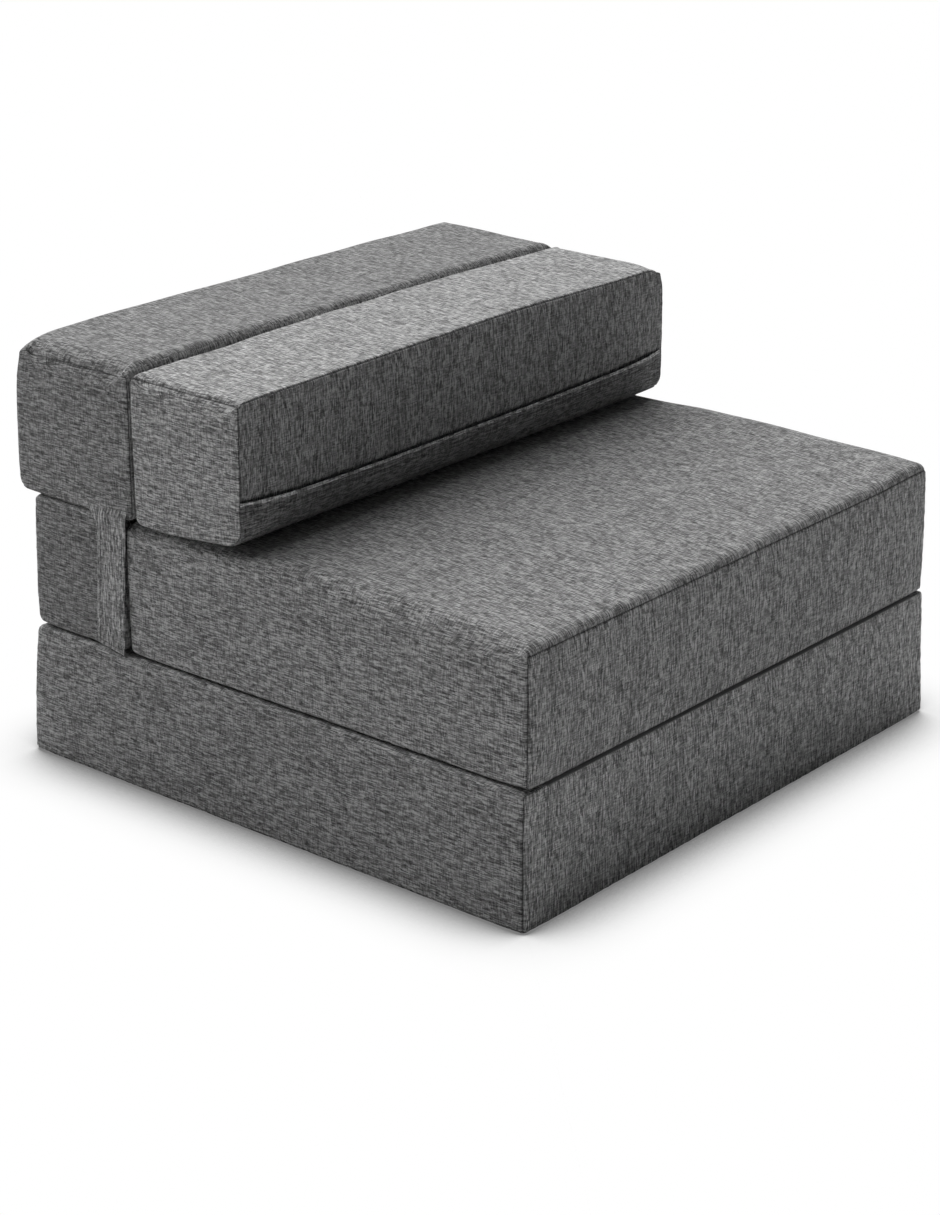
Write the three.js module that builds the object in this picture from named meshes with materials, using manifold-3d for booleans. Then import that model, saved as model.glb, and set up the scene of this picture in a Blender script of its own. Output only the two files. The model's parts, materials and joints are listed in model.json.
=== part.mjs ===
// Convertible chair bed: five upholstered foam blocks folded in three layers.
// Millimetres, +Z up, the front of the chair faces -Y and +X runs to the right of that front.
import * as THREE from 'three';
import { mergeVertices } from 'three/addons/utils/BufferGeometryUtils.js';
import Module from 'manifold-3d';

const wasm = await Module();
wasm.setup();

// Overall sizes of the blocks
const width = 800;
const layerHeight = 170;
const seatDepth = 620;
const lowerBackDepth = 154;
const frontBackDepth = 176;
const frontBackHeight = 181;
const rearBackHeight = 178;
const frontOverhang = 22;
const rearOverhang = 17;

// Cloth, webbing and the room between pieces
const clearance = 0.3;
const fabric = 2;
const foamRoom = 0.8;
const tapeThickness = 1.2;
const tapeWidth = 36;
const tapeInset = 30;
const flipRoom = 1.2;
const gapRoom = 1.4;
const overrun = 6;

// Rounding of the block edges
const tightRound = 5;
const crispRound = 8;
const softRound = 10;
const creaseRound = 16;
const bolsterToeRound = 28;
const rearHeelRound = 35;
const endRound = 8;
const seatTopEndRound = 12;
const frontTopEndRound = 12;
const rearTopEndRound = 18;
const segmentPerRound = 6;

// Crown of the block faces
const frontCrown = 4;
const rearCrown = 3;
const sideCrown = 2;
const seatCrown = 5;
const frontBackCrown = 6;
const rearBackCrown = 7;

// Zips
const zipHeight = 7;
const zipLengthShare = 0.78;
const sliderLength = 10;
const sliderWidth = 7.4;
const sliderBody = 2.2;
const sliderNose = 4;
const postRadius = 0.9;
const postCap = 0.6;
const capLength = 3.4;
const pullLength = 22;
const pullWidth = 5;
const pullThickness = 0.9;
const baseZipRise = 50;
const seatZipRise = 50;
const lowerBackZipRise = 45;
const rearBackZipRise = 62;
const frontBackZipRise = 51;

// Flap over the zip of the front back block
const flapThickness = 1.5;
const flapLipRise = 6.5;
const flapFootHeight = 5;

// Side tabs and their touch fastener
const tabWidth = 44;
const tabThickness = 2;
const tabHang = 6;
const tabCorner = 4;
const patchThickness = 0.8;
const patchHeight = 40;
const patchRise = 24;
const patchMargin = 7;

// Shape shares
const plateauShare = 0.8;
const shoulderShare = 0.91;
const archPower = 3;
const leastCornerShare = 0.3;
const capRingShares = [0.7, 0.35];
const sidePointShares = [0.12, 0.32, 0.68, 0.88];
const fewestSegments = 2;
const mostSegments = 5;

// Heights and depths that follow from the sizes
const halfWidth = width / 2;
const zipStack = clearance + sliderBody + clearance + pullThickness + clearance + postCap;
const seatGap = zipStack + gapRoom;
const backGap = tapeThickness + 2 * clearance + flipRoom;
const layerGap = tapeThickness + 2 * clearance;
const seatFloor = layerHeight + layerGap;
const seatTop = seatFloor + layerHeight;
const rearBackFloor = seatTop + layerGap;
const frontBackFloor = seatTop + clearance;
const lowerBackFront = seatDepth + seatGap;
const baseDepth = lowerBackFront + lowerBackDepth;
const rearBackRear = baseDepth + rearOverhang;
const rearBackFront = lowerBackFront - frontOverhang;
const frontBackRear = rearBackFront - backGap;
const frontBackFront = frontBackRear - frontBackDepth;

// Materials
function finish(name, color, roughness, metalness = 0) {
  const material = new THREE.MeshStandardMaterial({ color, roughness, metalness });
  material.name = name;
  return material;
}
const coverCloth = finish('cover_fabric', 0x77787a, 0.95);
const foam = finish('foam', 0xe9e2c8, 0.9);
const zipCloth = finish('zip_tape', 0x3c3d3f, 0.85);
const zipMetal = finish('zip_metal', 0xb4b6b8, 0.35, 1);
const webbing = finish('webbing', 0x4a4b4d, 0.9);
const touchFastener = finish('touch_fastener', 0x2c2d2f, 0.95);

// Blocks
const base = {
  name: 'base',
  front: 0,
  rear: baseDepth,
  floor: 0,
  top: layerHeight,
  corners: [crispRound, tightRound, softRound, softRound],
  crowns: { front: frontCrown, top: 0, rear: rearCrown, side: sideCrown },
  topEndRound: endRound,
  zip: { face: 'rear', rise: baseZipRise },
};
const seat = {
  name: 'seat',
  front: 0,
  rear: seatDepth,
  floor: seatFloor,
  top: seatTop,
  corners: [tightRound, crispRound, softRound, softRound],
  crowns: { front: frontCrown, top: seatCrown, rear: 0, side: sideCrown },
  crownedTopShare: frontBackFront / seatDepth,
  topEndRound: seatTopEndRound,
  zip: { face: 'rear', rise: seatZipRise },
};
const lowerBack = {
  name: 'lower_back',
  front: lowerBackFront,
  rear: baseDepth,
  floor: seatFloor,
  top: seatTop,
  corners: [softRound, softRound, softRound, softRound],
  crowns: { front: 0, top: 0, rear: rearCrown, side: sideCrown },
  topEndRound: endRound,
  zip: { face: 'rear', rise: lowerBackZipRise },
};
const rearBack = {
  name: 'rear_back',
  front: rearBackFront,
  rear: rearBackRear,
  floor: rearBackFloor,
  top: rearBackFloor + rearBackHeight,
  corners: [softRound, creaseRound, creaseRound, rearHeelRound],
  crowns: { front: 0, top: rearBackCrown, rear: rearCrown, side: sideCrown },
  topEndRound: rearTopEndRound,
  zip: { face: 'rear', rise: rearBackZipRise },
};
const frontBack = {
  name: 'front_back',
  front: frontBackFront,
  rear: frontBackRear,
  floor: frontBackFloor,
  top: frontBackFloor + frontBackHeight,
  corners: [bolsterToeRound, crispRound, creaseRound, softRound],
  crowns: { front: frontCrown, top: frontBackCrown, rear: 0, side: sideCrown },
  topEndRound: frontTopEndRound,
  zip: { face: 'front', rise: frontBackZipRise },
};
const blocks = [base, seat, lowerBack, rearBack, frontBack];

// Crown height as a share, along a face and across the chair
function arch(share) {
  return 1 - Math.abs(2 * share - 1) ** archPower;
}

function plateau(x) {
  const share = Math.min(Math.abs(x) / halfWidth, 1);
  if (share <= plateauShare) return 1;
  const fall = (share - plateauShare) / (1 - plateauShare);
  return (1 + Math.cos(Math.PI * fall)) / 2;
}

// One block's outline seen from the side: its corners and crowned faces, going front, top, rear, bottom.
// Each point holds its place, the way that the crown pushes it, and how much of the top edge it has.
function outline(block, inset) {
  const front = block.front + inset;
  const rear = block.rear - inset;
  const floor = block.floor + inset;
  const top = block.top - inset;
  const [frontFloor, frontTop, rearTop, rearFloor] = block.corners.map((round) => ({
    round: Math.max(round - inset, round * leastCornerShare),
    segments: THREE.MathUtils.clamp(Math.round(round / segmentPerRound), fewestSegments, mostSegments),
  }));
  const points = [];
  const corner = ({ round, segments }, y, z, start, topShares) => {
    for (let i = 0; i <= segments; i += 1) {
      const turn = start - (i / segments) * (Math.PI / 2);
      const topShare = topShares[0] + (topShares[1] - topShares[0]) * (i / segments);
      points.push({ y: y + round * Math.cos(turn), z: z + round * Math.sin(turn), push: [0, 0], topShare });
    }
  };
  const face = (from, to, crown, normal, crownedShare, topShare) => {
    const places = sidePointShares.map((share) => share * crownedShare);
    if (crownedShare < 1) places.push(crownedShare, (1 + crownedShare) / 2);
    for (const place of places) {
      const lift = place < crownedShare ? crown * arch(place / crownedShare) : 0;
      points.push({
        y: from[0] + (to[0] - from[0]) * place,
        z: from[1] + (to[1] - from[1]) * place,
        push: [normal[0] * lift, normal[1] * lift],
        topShare,
      });
    }
  };
  const { crowns } = block;
  corner(frontFloor, front + frontFloor.round, floor + frontFloor.round, -Math.PI / 2, [0, 0]);
  face([front, floor + frontFloor.round], [front, top - frontTop.round], crowns.front, [-1, 0], 1, 0);
  corner(frontTop, front + frontTop.round, top - frontTop.round, Math.PI, [0, 1]);
  const topFrom = [front + frontTop.round, top];
  const topTo = [rear - rearTop.round, top];
  face(topFrom, topTo, crowns.top, [0, 1], block.crownedTopShare ?? 1, 1);
  corner(rearTop, rear - rearTop.round, top - rearTop.round, Math.PI / 2, [1, 0]);
  face([rear, top - rearTop.round], [rear, floor + rearFloor.round], crowns.rear, [1, 0], 1, 0);
  corner(rearFloor, rear - rearFloor.round, floor + rearFloor.round, 0, [0, 0]);
  face([rear - rearFloor.round, floor], [front + frontFloor.round, floor], 0, [0, -1], 1, 0);
  return points;
}

// The least and most that the crowned face stands past its flat plane behind the slider of its zip
function standOut(block) {
  const { face, rise } = block.zip;
  const [frontFloor, frontTop, rearTop, rearFloor] = block.corners;
  const low = face === 'front' ? frontFloor : rearFloor;
  const high = face === 'front' ? frontTop : rearTop;
  const span = block.top - block.floor - low - high;
  const half = sliderWidth / 2;
  const lifts = [-half, 0, half].map((step) => block.crowns[face] * arch((rise + step - low) / span));
  return { least: Math.min(...lifts), most: Math.max(...lifts) };
}

// The closed surface of a block, drawn in by inset. Its two ends are crowned by the cap rings.
function blockSurface(block, inset, capShares = capRingShares) {
  const turns = [0, Math.PI / 4, Math.PI / 2];
  const rings = [];
  const outer = outline(block, inset);
  const half = halfWidth - inset;
  const heart = { y: (block.front + block.rear) / 2, z: (block.floor + block.top) / 2 };
  const edgeRound = ({ topShare }) => {
    const round = endRound + (block.topEndRound - endRound) * topShare;
    return Math.max(round - inset, round * leastCornerShare);
  };
  const ringAt = (side, turn) => outer.map((point, i) => {
    const round = edgeRound(point);
    const inner = outline(block, inset + round * (1 - Math.cos(turn)))[i];
    const x = side * (half - round * (1 - Math.sin(turn)));
    const share = plateau(x);
    return [x, inner.y + inner.push[0] * share, inner.z + inner.push[1] * share];
  });
  const middleRing = (x) => {
    const share = plateau(x);
    return outer.map(({ y, z, push }) => [x, y + push[0] * share, z + push[1] * share]);
  };
  const capRing = (side, rim, share) => rim.map(([, y, z]) => [
    side * (half + block.crowns.side * (1 - share ** archPower)),
    heart.y + (y - heart.y) * share,
    heart.z + (z - heart.z) * share,
  ]);
  const leftRim = ringAt(-1, Math.PI / 2);
  const rightRim = ringAt(1, Math.PI / 2);
  for (const share of [...capShares].reverse()) rings.push(capRing(-1, leftRim, share));
  for (const turn of [...turns].reverse()) rings.push(ringAt(-1, turn));
  for (const share of [-shoulderShare, -plateauShare, plateauShare, shoulderShare]) {
    rings.push(middleRing(share * halfWidth));
  }
  for (const turn of turns) rings.push(ringAt(1, turn));
  for (const share of capShares) rings.push(capRing(1, rightRim, share));
  const poles = [-1, 1].map((side) => [side * (half + block.crowns.side), heart.y, heart.z]);
  return closedSurface(rings, poles);
}

// Rings of equal length joined into one closed surface between two poles
function closedSurface(rings, poles) {
  const count = rings[0].length;
  const positions = [...rings.flat(), ...poles];
  const first = rings.length * count;
  const index = [];
  for (let r = 0; r < rings.length - 1; r += 1) {
    for (let i = 0; i < count; i += 1) {
      const a = r * count + i;
      const b = r * count + ((i + 1) % count);
      const c = a + count;
      const d = b + count;
      index.push(a, c, b, b, c, d);
    }
  }
  const last = (rings.length - 1) * count;
  for (let i = 0; i < count; i += 1) {
    const next = (i + 1) % count;
    index.push(first, i, next);
    index.push(first + 1, last + next, last + i);
  }
  const geometry = new THREE.BufferGeometry();
  geometry.setAttribute('position', new THREE.Float32BufferAttribute(positions.flat(), 3));
  geometry.setIndex(index);
  return geometry;
}

// Solids for joining and cutting
function solidOf(source) {
  const geometry = source.clone();
  geometry.deleteAttribute('normal');
  geometry.deleteAttribute('uv');
  const merged = mergeVertices(geometry);
  const triVerts = Uint32Array.from(merged.index.array);
  const vertProperties = Float32Array.from(merged.attributes.position.array);
  return new wasm.Manifold(new wasm.Mesh({ numProp: 3, vertProperties, triVerts }));
}

function geometryOf(solid) {
  const mesh = solid.getMesh();
  const geometry = new THREE.BufferGeometry();
  geometry.setAttribute('position', new THREE.Float32BufferAttribute(mesh.vertProperties, 3));
  geometry.setIndex(Array.from(mesh.triVerts));
  geometry.computeVertexNormals();
  return geometry;
}

function boxBetween(low, high) {
  const [x, y, z] = high.map((value, i) => value - low[i]);
  const centre = high.map((value, i) => (value + low[i]) / 2);
  return new THREE.BoxGeometry(x, y, z).translate(...centre);
}

function blockSolid(block, inset) {
  return solidOf(blockSurface(block, inset));
}

// Pieces of the assembly
const chair = new THREE.Group();
chair.name = 'convertible_chair_bed';

function add(name, geometry, material, group = chair) {
  const mesh = new THREE.Mesh(geometry, material);
  mesh.name = name;
  group.add(mesh);
  return mesh;
}

// A window in the wall of one cover, of the zip's length, drawn in by inset on its four sides
const zipLength = width * zipLengthShare;

function zipWindow(block, inset) {
  const plane = block[block.zip.face];
  const middle = block.floor + block.zip.rise;
  const halfHeight = zipHeight / 2 - inset;
  const halfLength = zipLength / 2 - inset;
  return solidOf(boxBetween(
    [-halfLength, plane - overrun - fabric, middle - halfHeight],
    [halfLength, plane + overrun + fabric, middle + halfHeight],
  ));
}

// Foam core, cover with its zip opening, and the zip tape that fills the opening
function addBlock(block) {
  const wall = blockSolid(block, 0).subtract(blockSolid(block, fabric));
  add(`${block.name}_foam`, blockSurface(block, fabric + foamRoom, []), foam);
  add(`${block.name}_cover`, geometryOf(wall.subtract(zipWindow(block, 0))), coverCloth);
  add(`${block.name}_zip_tape`, geometryOf(wall.intersect(zipWindow(block, clearance))), zipCloth);
  addSlider(block);
}

// Slider and pull, drawn flat with their backs at zero, then stood against the zip
function sliderSolid() {
  const half = sliderWidth / 2;
  const plan = new THREE.Shape();
  plan.moveTo(-sliderLength / 2, -half);
  plan.lineTo(sliderLength / 2 - sliderNose, -half);
  plan.lineTo(sliderLength / 2, -pullWidth / 2);
  plan.lineTo(sliderLength / 2, pullWidth / 2);
  plan.lineTo(sliderLength / 2 - sliderNose, half);
  plan.lineTo(-sliderLength / 2, half);
  plan.closePath();
  const body = new THREE.ExtrudeGeometry(plan, { depth: sliderBody, bevelEnabled: false });
  const postHeight = clearance + pullThickness + clearance + postCap;
  const post = new THREE.CylinderGeometry(postRadius, postRadius, postHeight + sliderBody / 2, 8);
  post.rotateX(Math.PI / 2);
  post.translate(0, 0, (postHeight + sliderBody / 2) / 2 + sliderBody / 2);
  const capFloor = sliderBody + postHeight - postCap;
  const cap = boxBetween(
    [-capLength / 2, -pullWidth / 2, capFloor],
    [capLength / 2, pullWidth / 2, capFloor + postCap],
  );
  return solidOf(body).add(solidOf(post)).add(solidOf(cap));
}

function pullGeometry() {
  const half = pullWidth / 2;
  const plan = new THREE.Shape();
  plan.absarc(0, 0, half, Math.PI / 2, (3 * Math.PI) / 2, false);
  plan.absarc(pullLength - pullWidth, 0, half, -Math.PI / 2, Math.PI / 2, false);
  plan.closePath();
  const eye = new THREE.Path();
  eye.absarc(0, 0, postRadius + clearance, 0, 2 * Math.PI, true);
  plan.holes.push(eye);
  const plate = new THREE.ExtrudeGeometry(plan, {
    depth: pullThickness,
    bevelEnabled: false,
    curveSegments: 8,
  });
  return plate.translate(0, 0, sliderBody + clearance);
}

function addSlider(block) {
  const { face, rise } = block.zip;
  const outward = face === 'front' ? -1 : 1;
  const reach = standOut(block).most;
  const group = new THREE.Group();
  const parked = zipLength / 2 - pullLength - sliderLength;
  group.position.set(parked, block[face] + outward * (reach + clearance), block.floor + rise);
  group.rotation.x = (-outward * Math.PI) / 2;
  add(`${block.name}_zip_slider`, geometryOf(sliderSolid()), zipMetal, group);
  add(`${block.name}_zip_pull`, pullGeometry(), zipMetal, group);
  chair.add(group);
}

blocks.forEach(addBlock);

// Flap that hides the front zip: a foot sewn below the zip and a lip that reaches up over it
function addFlap(block) {
  const { least, most } = standOut(block);
  const pocket = zipStack + most - least + 2 * clearance;
  const shell = blockSolid(block, -pocket - flapThickness);
  const middle = block.floor + block.zip.rise;
  const footTop = middle - sliderWidth / 2 - clearance;
  const reach = halfWidth - endRound;
  const outside = block.front - pocket - flapThickness - overrun;
  const zone = (low, high) => solidOf(boxBetween(
    [-reach, outside, low],
    [reach, block.front + overrun, high],
  ));
  const lip = shell.subtract(blockSolid(block, -pocket)).intersect(zone(
    footTop - flapFootHeight,
    middle + flapLipRise,
  ));
  const foot = shell.subtract(blockSolid(block, -clearance)).intersect(zone(
    footTop - flapFootHeight,
    footTop,
  ));
  add(`${block.name}_zip_flap`, geometryOf(lip.add(foot)), coverCloth);
}

addFlap(frontBack);

// Webbing that hinges and joins the blocks, sewn in the gaps between them
const tapeReach = halfWidth - tapeInset;

add('seat_hinge_tape', boxBetween(
  [-tapeReach, tightRound, layerHeight + clearance],
  [tapeReach, tightRound + tapeWidth, layerHeight + clearance + tapeThickness],
), webbing);

add('seat_joining_tape', boxBetween(
  [-tapeReach, seatDepth + clearance, seatTop - softRound - tapeThickness],
  [tapeReach, lowerBackFront - clearance, seatTop - softRound],
), webbing);

add('back_hinge_tape', boxBetween(
  [-tapeReach, baseDepth - softRound - tapeWidth, seatTop + clearance],
  [tapeReach, baseDepth - softRound, seatTop + clearance + tapeThickness],
), webbing);

add('bolster_hinge_tape', boxBetween(
  [-tapeReach, rearBackFront - clearance - tapeThickness, rearBack.top - creaseRound - tapeWidth],
  [tapeReach, rearBackFront - clearance, rearBack.top - creaseRound],
), webbing);

// Side tabs of the back, which hang over the lower back block and close on it with touch fastener
const sideFace = halfWidth + sideCrown;
const loopPlane = sideFace + clearance;
const hookPlane = loopPlane + patchThickness + clearance;
const tabPlane = hookPlane + patchThickness + clearance;
const tabFloor = layerHeight - tabHang;
const tabTop = rearBackFloor;
const patchFloor = seatFloor + patchRise;

function addTab(name, side) {
  const plan = new THREE.Shape();
  plan.moveTo(0, tabFloor + tabCorner);
  plan.lineTo(tabCorner, tabFloor);
  plan.lineTo(tabWidth - tabCorner, tabFloor);
  plan.lineTo(tabWidth, tabFloor + tabCorner);
  plan.lineTo(tabWidth, tabTop);
  plan.lineTo(0, tabTop);
  plan.closePath();
  const plate = new THREE.ExtrudeGeometry(plan, { depth: tabThickness, bevelEnabled: false });
  plate.rotateX(Math.PI / 2);
  plate.rotateZ(Math.PI / 2);
  const near = side > 0 ? tabPlane : -tabPlane - tabThickness;
  plate.translate(near, lowerBackFront, 0);
  add(`${name}_side_tab`, plate, coverCloth);
  const patch = (piece, plane) => {
    const low = side > 0 ? plane : -plane - patchThickness;
    add(`${name}_tab_${piece}_patch`, boxBetween(
      [low, lowerBackFront + patchMargin, patchFloor],
      [low + patchThickness, lowerBackFront + tabWidth - patchMargin, patchFloor + patchHeight],
    ), touchFastener);
  };
  patch('loop', loopPlane);
  patch('hook', hookPlane);
}

addTab('left', -1);
addTab('right', 1);

// The chair stands on its origin, at the middle of its width and depth
const box = new THREE.Box3().setFromObject(chair);
const centre = box.getCenter(new THREE.Vector3());
chair.position.set(-centre.x, -centre.y, -box.min.z);

// Hinge lines and slides, in the same frame as the chair
const crownTop = Math.max(frontBack.top + frontBackCrown, rearBack.top + rearBackCrown);
const meetingRear = (baseDepth + rearBackRear) / 2 + rearCrown;
const lineAt = (x, y, z) => [x - centre.x, y - centre.y, z - box.min.z];
chair.userData.joints = {
  seat_unfold: lineAt(0, -frontCrown - clearance, layerHeight + layerGap / 2),
  back_unfold: lineAt(0, meetingRear + (zipStack + clearance) / 2, seatTop + layerGap / 2),
  bolster_flip: lineAt(0, rearBackFront - backGap / 2, crownTop + clearance),
  left_tab_lift: lineAt(-tabPlane, lowerBackFront + tabWidth / 2, tabTop),
  right_tab_lift: lineAt(tabPlane, lowerBackFront + tabWidth / 2, tabTop),
  zip_travel: zipLength - pullLength - 2 * sliderLength,
};

export default chair;
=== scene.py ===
"""Convertible chair bed: five upholstered foam blocks, folded in three layers. Metres, +Z up."""

import json
import math
from types import SimpleNamespace

import bpy
import numpy as np
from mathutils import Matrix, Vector
from mathutils.kdtree import KDTree


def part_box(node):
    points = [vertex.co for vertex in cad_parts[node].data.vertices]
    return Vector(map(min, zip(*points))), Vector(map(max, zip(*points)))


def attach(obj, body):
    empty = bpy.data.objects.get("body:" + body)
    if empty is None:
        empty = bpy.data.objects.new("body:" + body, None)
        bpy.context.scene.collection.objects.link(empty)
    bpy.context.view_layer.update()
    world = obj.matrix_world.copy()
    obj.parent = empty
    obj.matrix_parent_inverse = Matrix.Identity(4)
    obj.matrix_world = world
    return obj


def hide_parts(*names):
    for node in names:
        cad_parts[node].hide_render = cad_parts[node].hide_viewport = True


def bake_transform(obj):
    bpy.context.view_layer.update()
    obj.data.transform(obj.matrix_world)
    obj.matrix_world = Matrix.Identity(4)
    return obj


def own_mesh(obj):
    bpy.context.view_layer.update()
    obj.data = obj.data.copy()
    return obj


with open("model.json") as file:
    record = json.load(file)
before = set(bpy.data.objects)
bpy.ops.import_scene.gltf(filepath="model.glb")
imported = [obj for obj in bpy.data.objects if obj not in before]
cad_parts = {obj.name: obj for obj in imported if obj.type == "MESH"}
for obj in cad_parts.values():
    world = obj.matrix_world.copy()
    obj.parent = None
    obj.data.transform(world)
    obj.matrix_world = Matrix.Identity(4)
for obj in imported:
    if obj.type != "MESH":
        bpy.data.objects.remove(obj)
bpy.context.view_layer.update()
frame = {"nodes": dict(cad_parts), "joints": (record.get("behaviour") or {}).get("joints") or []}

MM = 0.001
SEED = 7

# How the covers are cut
CROWN_REACH_SHARE = 0.953
SIDE_REACH_SHARE = 0.4
CROWN_POWER = 3.2
PLATEAU_SHARE = 0.8
BACK_EDGE_SHARE = 0.05
LEAST_ROUND_SHARE = 0.3
LEAST_CAP_SHARE = 0.12
END_STEPS = 12
SMALL_CORNER_STEPS = 10
LARGE_CORNER_STEPS = 22
LARGE_CORNER = 12 * MM
ALONG_SPACING = 3.5 * MM
DEPTH_SPACING = 9 * MM
FLOOR_SPACING = 16 * MM
RING_ROOM = 1 * MM
CAP_DISTANCES = [d * MM for d in (0.9, 1.9, 3.1, 4.6, 6.4, 8.6, 11.4, 15, 20, 26, 33, 41, 50, 60)]

# Where the rows of points lie closer together: the reach and the spacing of each such place
SLOT_MARK = (6 * MM, 0.75 * MM)
SLOT_END_MARK = (3 * MM, 1 * MM)
SLIT_MARK = (14 * MM, 0.8 * MM)
SLIT_RISE = 4 * MM

# Corners of the outline, from the front foot over the top to the rear foot. The pairs say how much of
# the rounding of the top edge an end has where each corner starts and stops.
FRONT_FOOT, FRONT_TOP, REAR_TOP, REAR_FOOT = range(4)
TOP_EDGE_SHARES = [(0, 0), (0, 1), (1, 0), (0, 0)]

# Panels of a cover, and the shift of the weave from each to the next
PANELS = ["side", "front", "rear", "bottom", "top", "band"]
SIDE, FRONT, REAR, BOTTOM, TOP, BAND = range(6)
PANEL_SHIFT = np.array([0.37, 0.53])

# Seams
SEAM_DEPTH = 1.3 * MM
SEAM_HALF_WIDTH = 0.9 * MM
SEAM_RUN_GAP = 50 * MM
PUFF_HEIGHT = 0.5 * MM
PUFF_PLACE = 7 * MM
PUFF_WIDTH = 5 * MM
PUCKER_HEIGHT = 0.5 * MM
PUCKER_SINK_SHARE = 0.3
PUCKER_REACH = 9 * MM
PUCKER_LENGTHS = [10.5 * MM, 15.5 * MM, 27 * MM]
TUCK_DEPTH = 1.4 * MM
TUCK_REACH = 26 * MM
WAVE_HEIGHT = 0.55 * MM
WAVE_LENGTHS = (90 * MM, 240 * MM)
WAVE_COUNT = 14
PRESSED_WAVE_SHARE = 0.4
OVERTONE_SHARE = 0.6
OVERTONE_STRETCH = 1.37

# Zips
ZIP_HALF_HEIGHT = 3.5 * MM
ZIP_SLOT_DEPTH = 2.0 * MM
ZIP_SLOT_EDGE = 0.9 * MM
ZIP_FACING = (0.6, 0.8)
ZIP_CALM_REACH = 14 * MM
ZIP_CALM_FACING = (0.3, 0.7)

# Foam cores
CORE_INSET = 3.2 * MM
CORE_SPACING = 3.0
CORE_SHARE = 0.997


def block(name, corners, crowns, ends, seams, seam_step, zip_rise, painted_light_and_yarn_tones, zip_face="rear", lift=0.0,
          plateau_share=PLATEAU_SHARE, seam_steps=()):
    """One upholstered block. Its flat planes lie inside the crowned box of its cover.

    Sizes are in millimetres. Corners run from the front foot over the top to the rear foot. The left end
    is -1 and the right end 1, each with the rounding of its other edges and that of its top edge.
    seam_step places the side seam on that rounding, and seam_steps the seams on single corners.
    """
    low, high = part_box(f"{name}_cover")
    tape_low, tape_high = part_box(f"{name}_zip_tape")
    crown = {face: size * MM for face, size in crowns.items()}
    made = SimpleNamespace(name=name, crown=crown, seams=seams, seam_step=seam_step, painted_light_and_yarn_tones=painted_light_and_yarn_tones,
                           zip_face=zip_face, plateau_share=plateau_share, seam_steps=dict(seam_steps))
    made.half = high.x - crown["side"] * SIDE_REACH_SHARE
    made.front = low.y + crown["front"] * CROWN_REACH_SHARE
    made.rear = high.y - crown["rear"] * CROWN_REACH_SHARE
    made.floor = low.z
    made.top = high.z - crown["top"] * CROWN_REACH_SHARE + lift * MM
    made.crown["top"] -= lift * MM
    made.corners = np.array(corners) * MM
    made.ends = {side: [size * MM for size in sizes] for side, sizes in ends.items()}
    made.zip_z = made.floor + zip_rise * MM
    made.zip_half = (tape_high.x - tape_low.x) / 2
    made.heart = np.array([0.0, (made.front + made.rear) / 2, (made.floor + made.top) / 2])
    return made


EVEN_ENDS = {-1: (6, 6), 1: (6, 6)}
# Each block's tones are painted light and shade: they scale the cloth colour of each panel for how the
# light falls on it, lighter on the base's front and the front back's top, darker on the sides and on
# faces turned from the light.
BLOCKS = {
    made.name: made
    for made in (
        block("base", (7, 1.6, 8, 6), {"front": 4, "top": 0, "rear": 3, "side": 2},
              EVEN_ENDS, "wrapped", seam_step=8, zip_rise=50, painted_light_and_yarn_tones={"front": 1.29, "side": 0.82}),
        block("seat", (1.6, 14, 10, 8), {"front": 4, "top": 5, "rear": 0, "side": 2},
              {-1: (6, 22), 1: (6, 15)}, "wrapped", seam_step=6, zip_rise=50,
              painted_light_and_yarn_tones={"top": 0.93, "side": 0.89}, plateau_share=0.93, seam_steps={FRONT_TOP: 4}),
        block("lower_back", (8, 8, 8, 10), {"front": 0, "top": 0, "rear": 3, "side": 2},
              EVEN_ENDS, "wrapped", seam_step=7, zip_rise=45, painted_light_and_yarn_tones={"side": 0.62}),
        block("rear_back", (10, 15, 15, 14), {"front": 0, "top": 7, "rear": 3, "side": 2},
              {-1: (2.5, 30), 1: (2.5, 24)}, "boxed", seam_step=8, zip_rise=62,
              painted_light_and_yarn_tones={"side": 0.73, "top": 0.83}, lift=8),
        block("front_back", (26, 5, 7, 10), {"front": 4, "top": 6, "rear": 0, "side": 2},
              {-1: (2.5, 19), 1: (2.5, 24)}, "boxed", seam_step=6, zip_rise=51,
              painted_light_and_yarn_tones={"top": 1.2, "front": 0.86, "band": 0.6, "bottom": 0.75}, zip_face="front", lift=6),
    )
}
rear_back = BLOCKS["rear_back"]
front_back = BLOCKS["front_back"]
BODY_OF = {
    "base": "base",
    "seat": "seat_layer",
    "lower_back": "seat_layer",
    "rear_back": "rear_back",
    "front_back": "front_back",
}
HINGES = {
    joint["name"]: Vector(joint["pos_m"]) for joint in frame["joints"]
    if joint["name"] in ("seat_unfold", "back_unfold", "bolster_flip")
}


# Outline of a block seen from the side

def arch(share):
    """Height of the crown along a face, as a share: whole in the middle and none at its edges."""
    return 1 - np.abs(2 * share - 1) ** CROWN_POWER


def plateau(x, shape):
    """Share of the crown at x: whole in the middle, and none at the ends of the block."""
    share = np.clip(np.abs(x) / shape.half, 0, 1)
    fall = np.clip((share - shape.plateau_share) / (1 - shape.plateau_share), 0, 1)
    return (1 + np.cos(np.pi * fall)) / 2


def smooth_step(low, high, values):
    """Rises smoothly from 0 at low to 1 at high, which may also lie below low."""
    share = np.clip((values - low) / (high - low), 0, 1)
    return share * share * (3 - 2 * share)


def bell(values, width):
    """1 at zero, and down to about a third at the given width."""
    return np.exp(-((values / width) ** 2))


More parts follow.
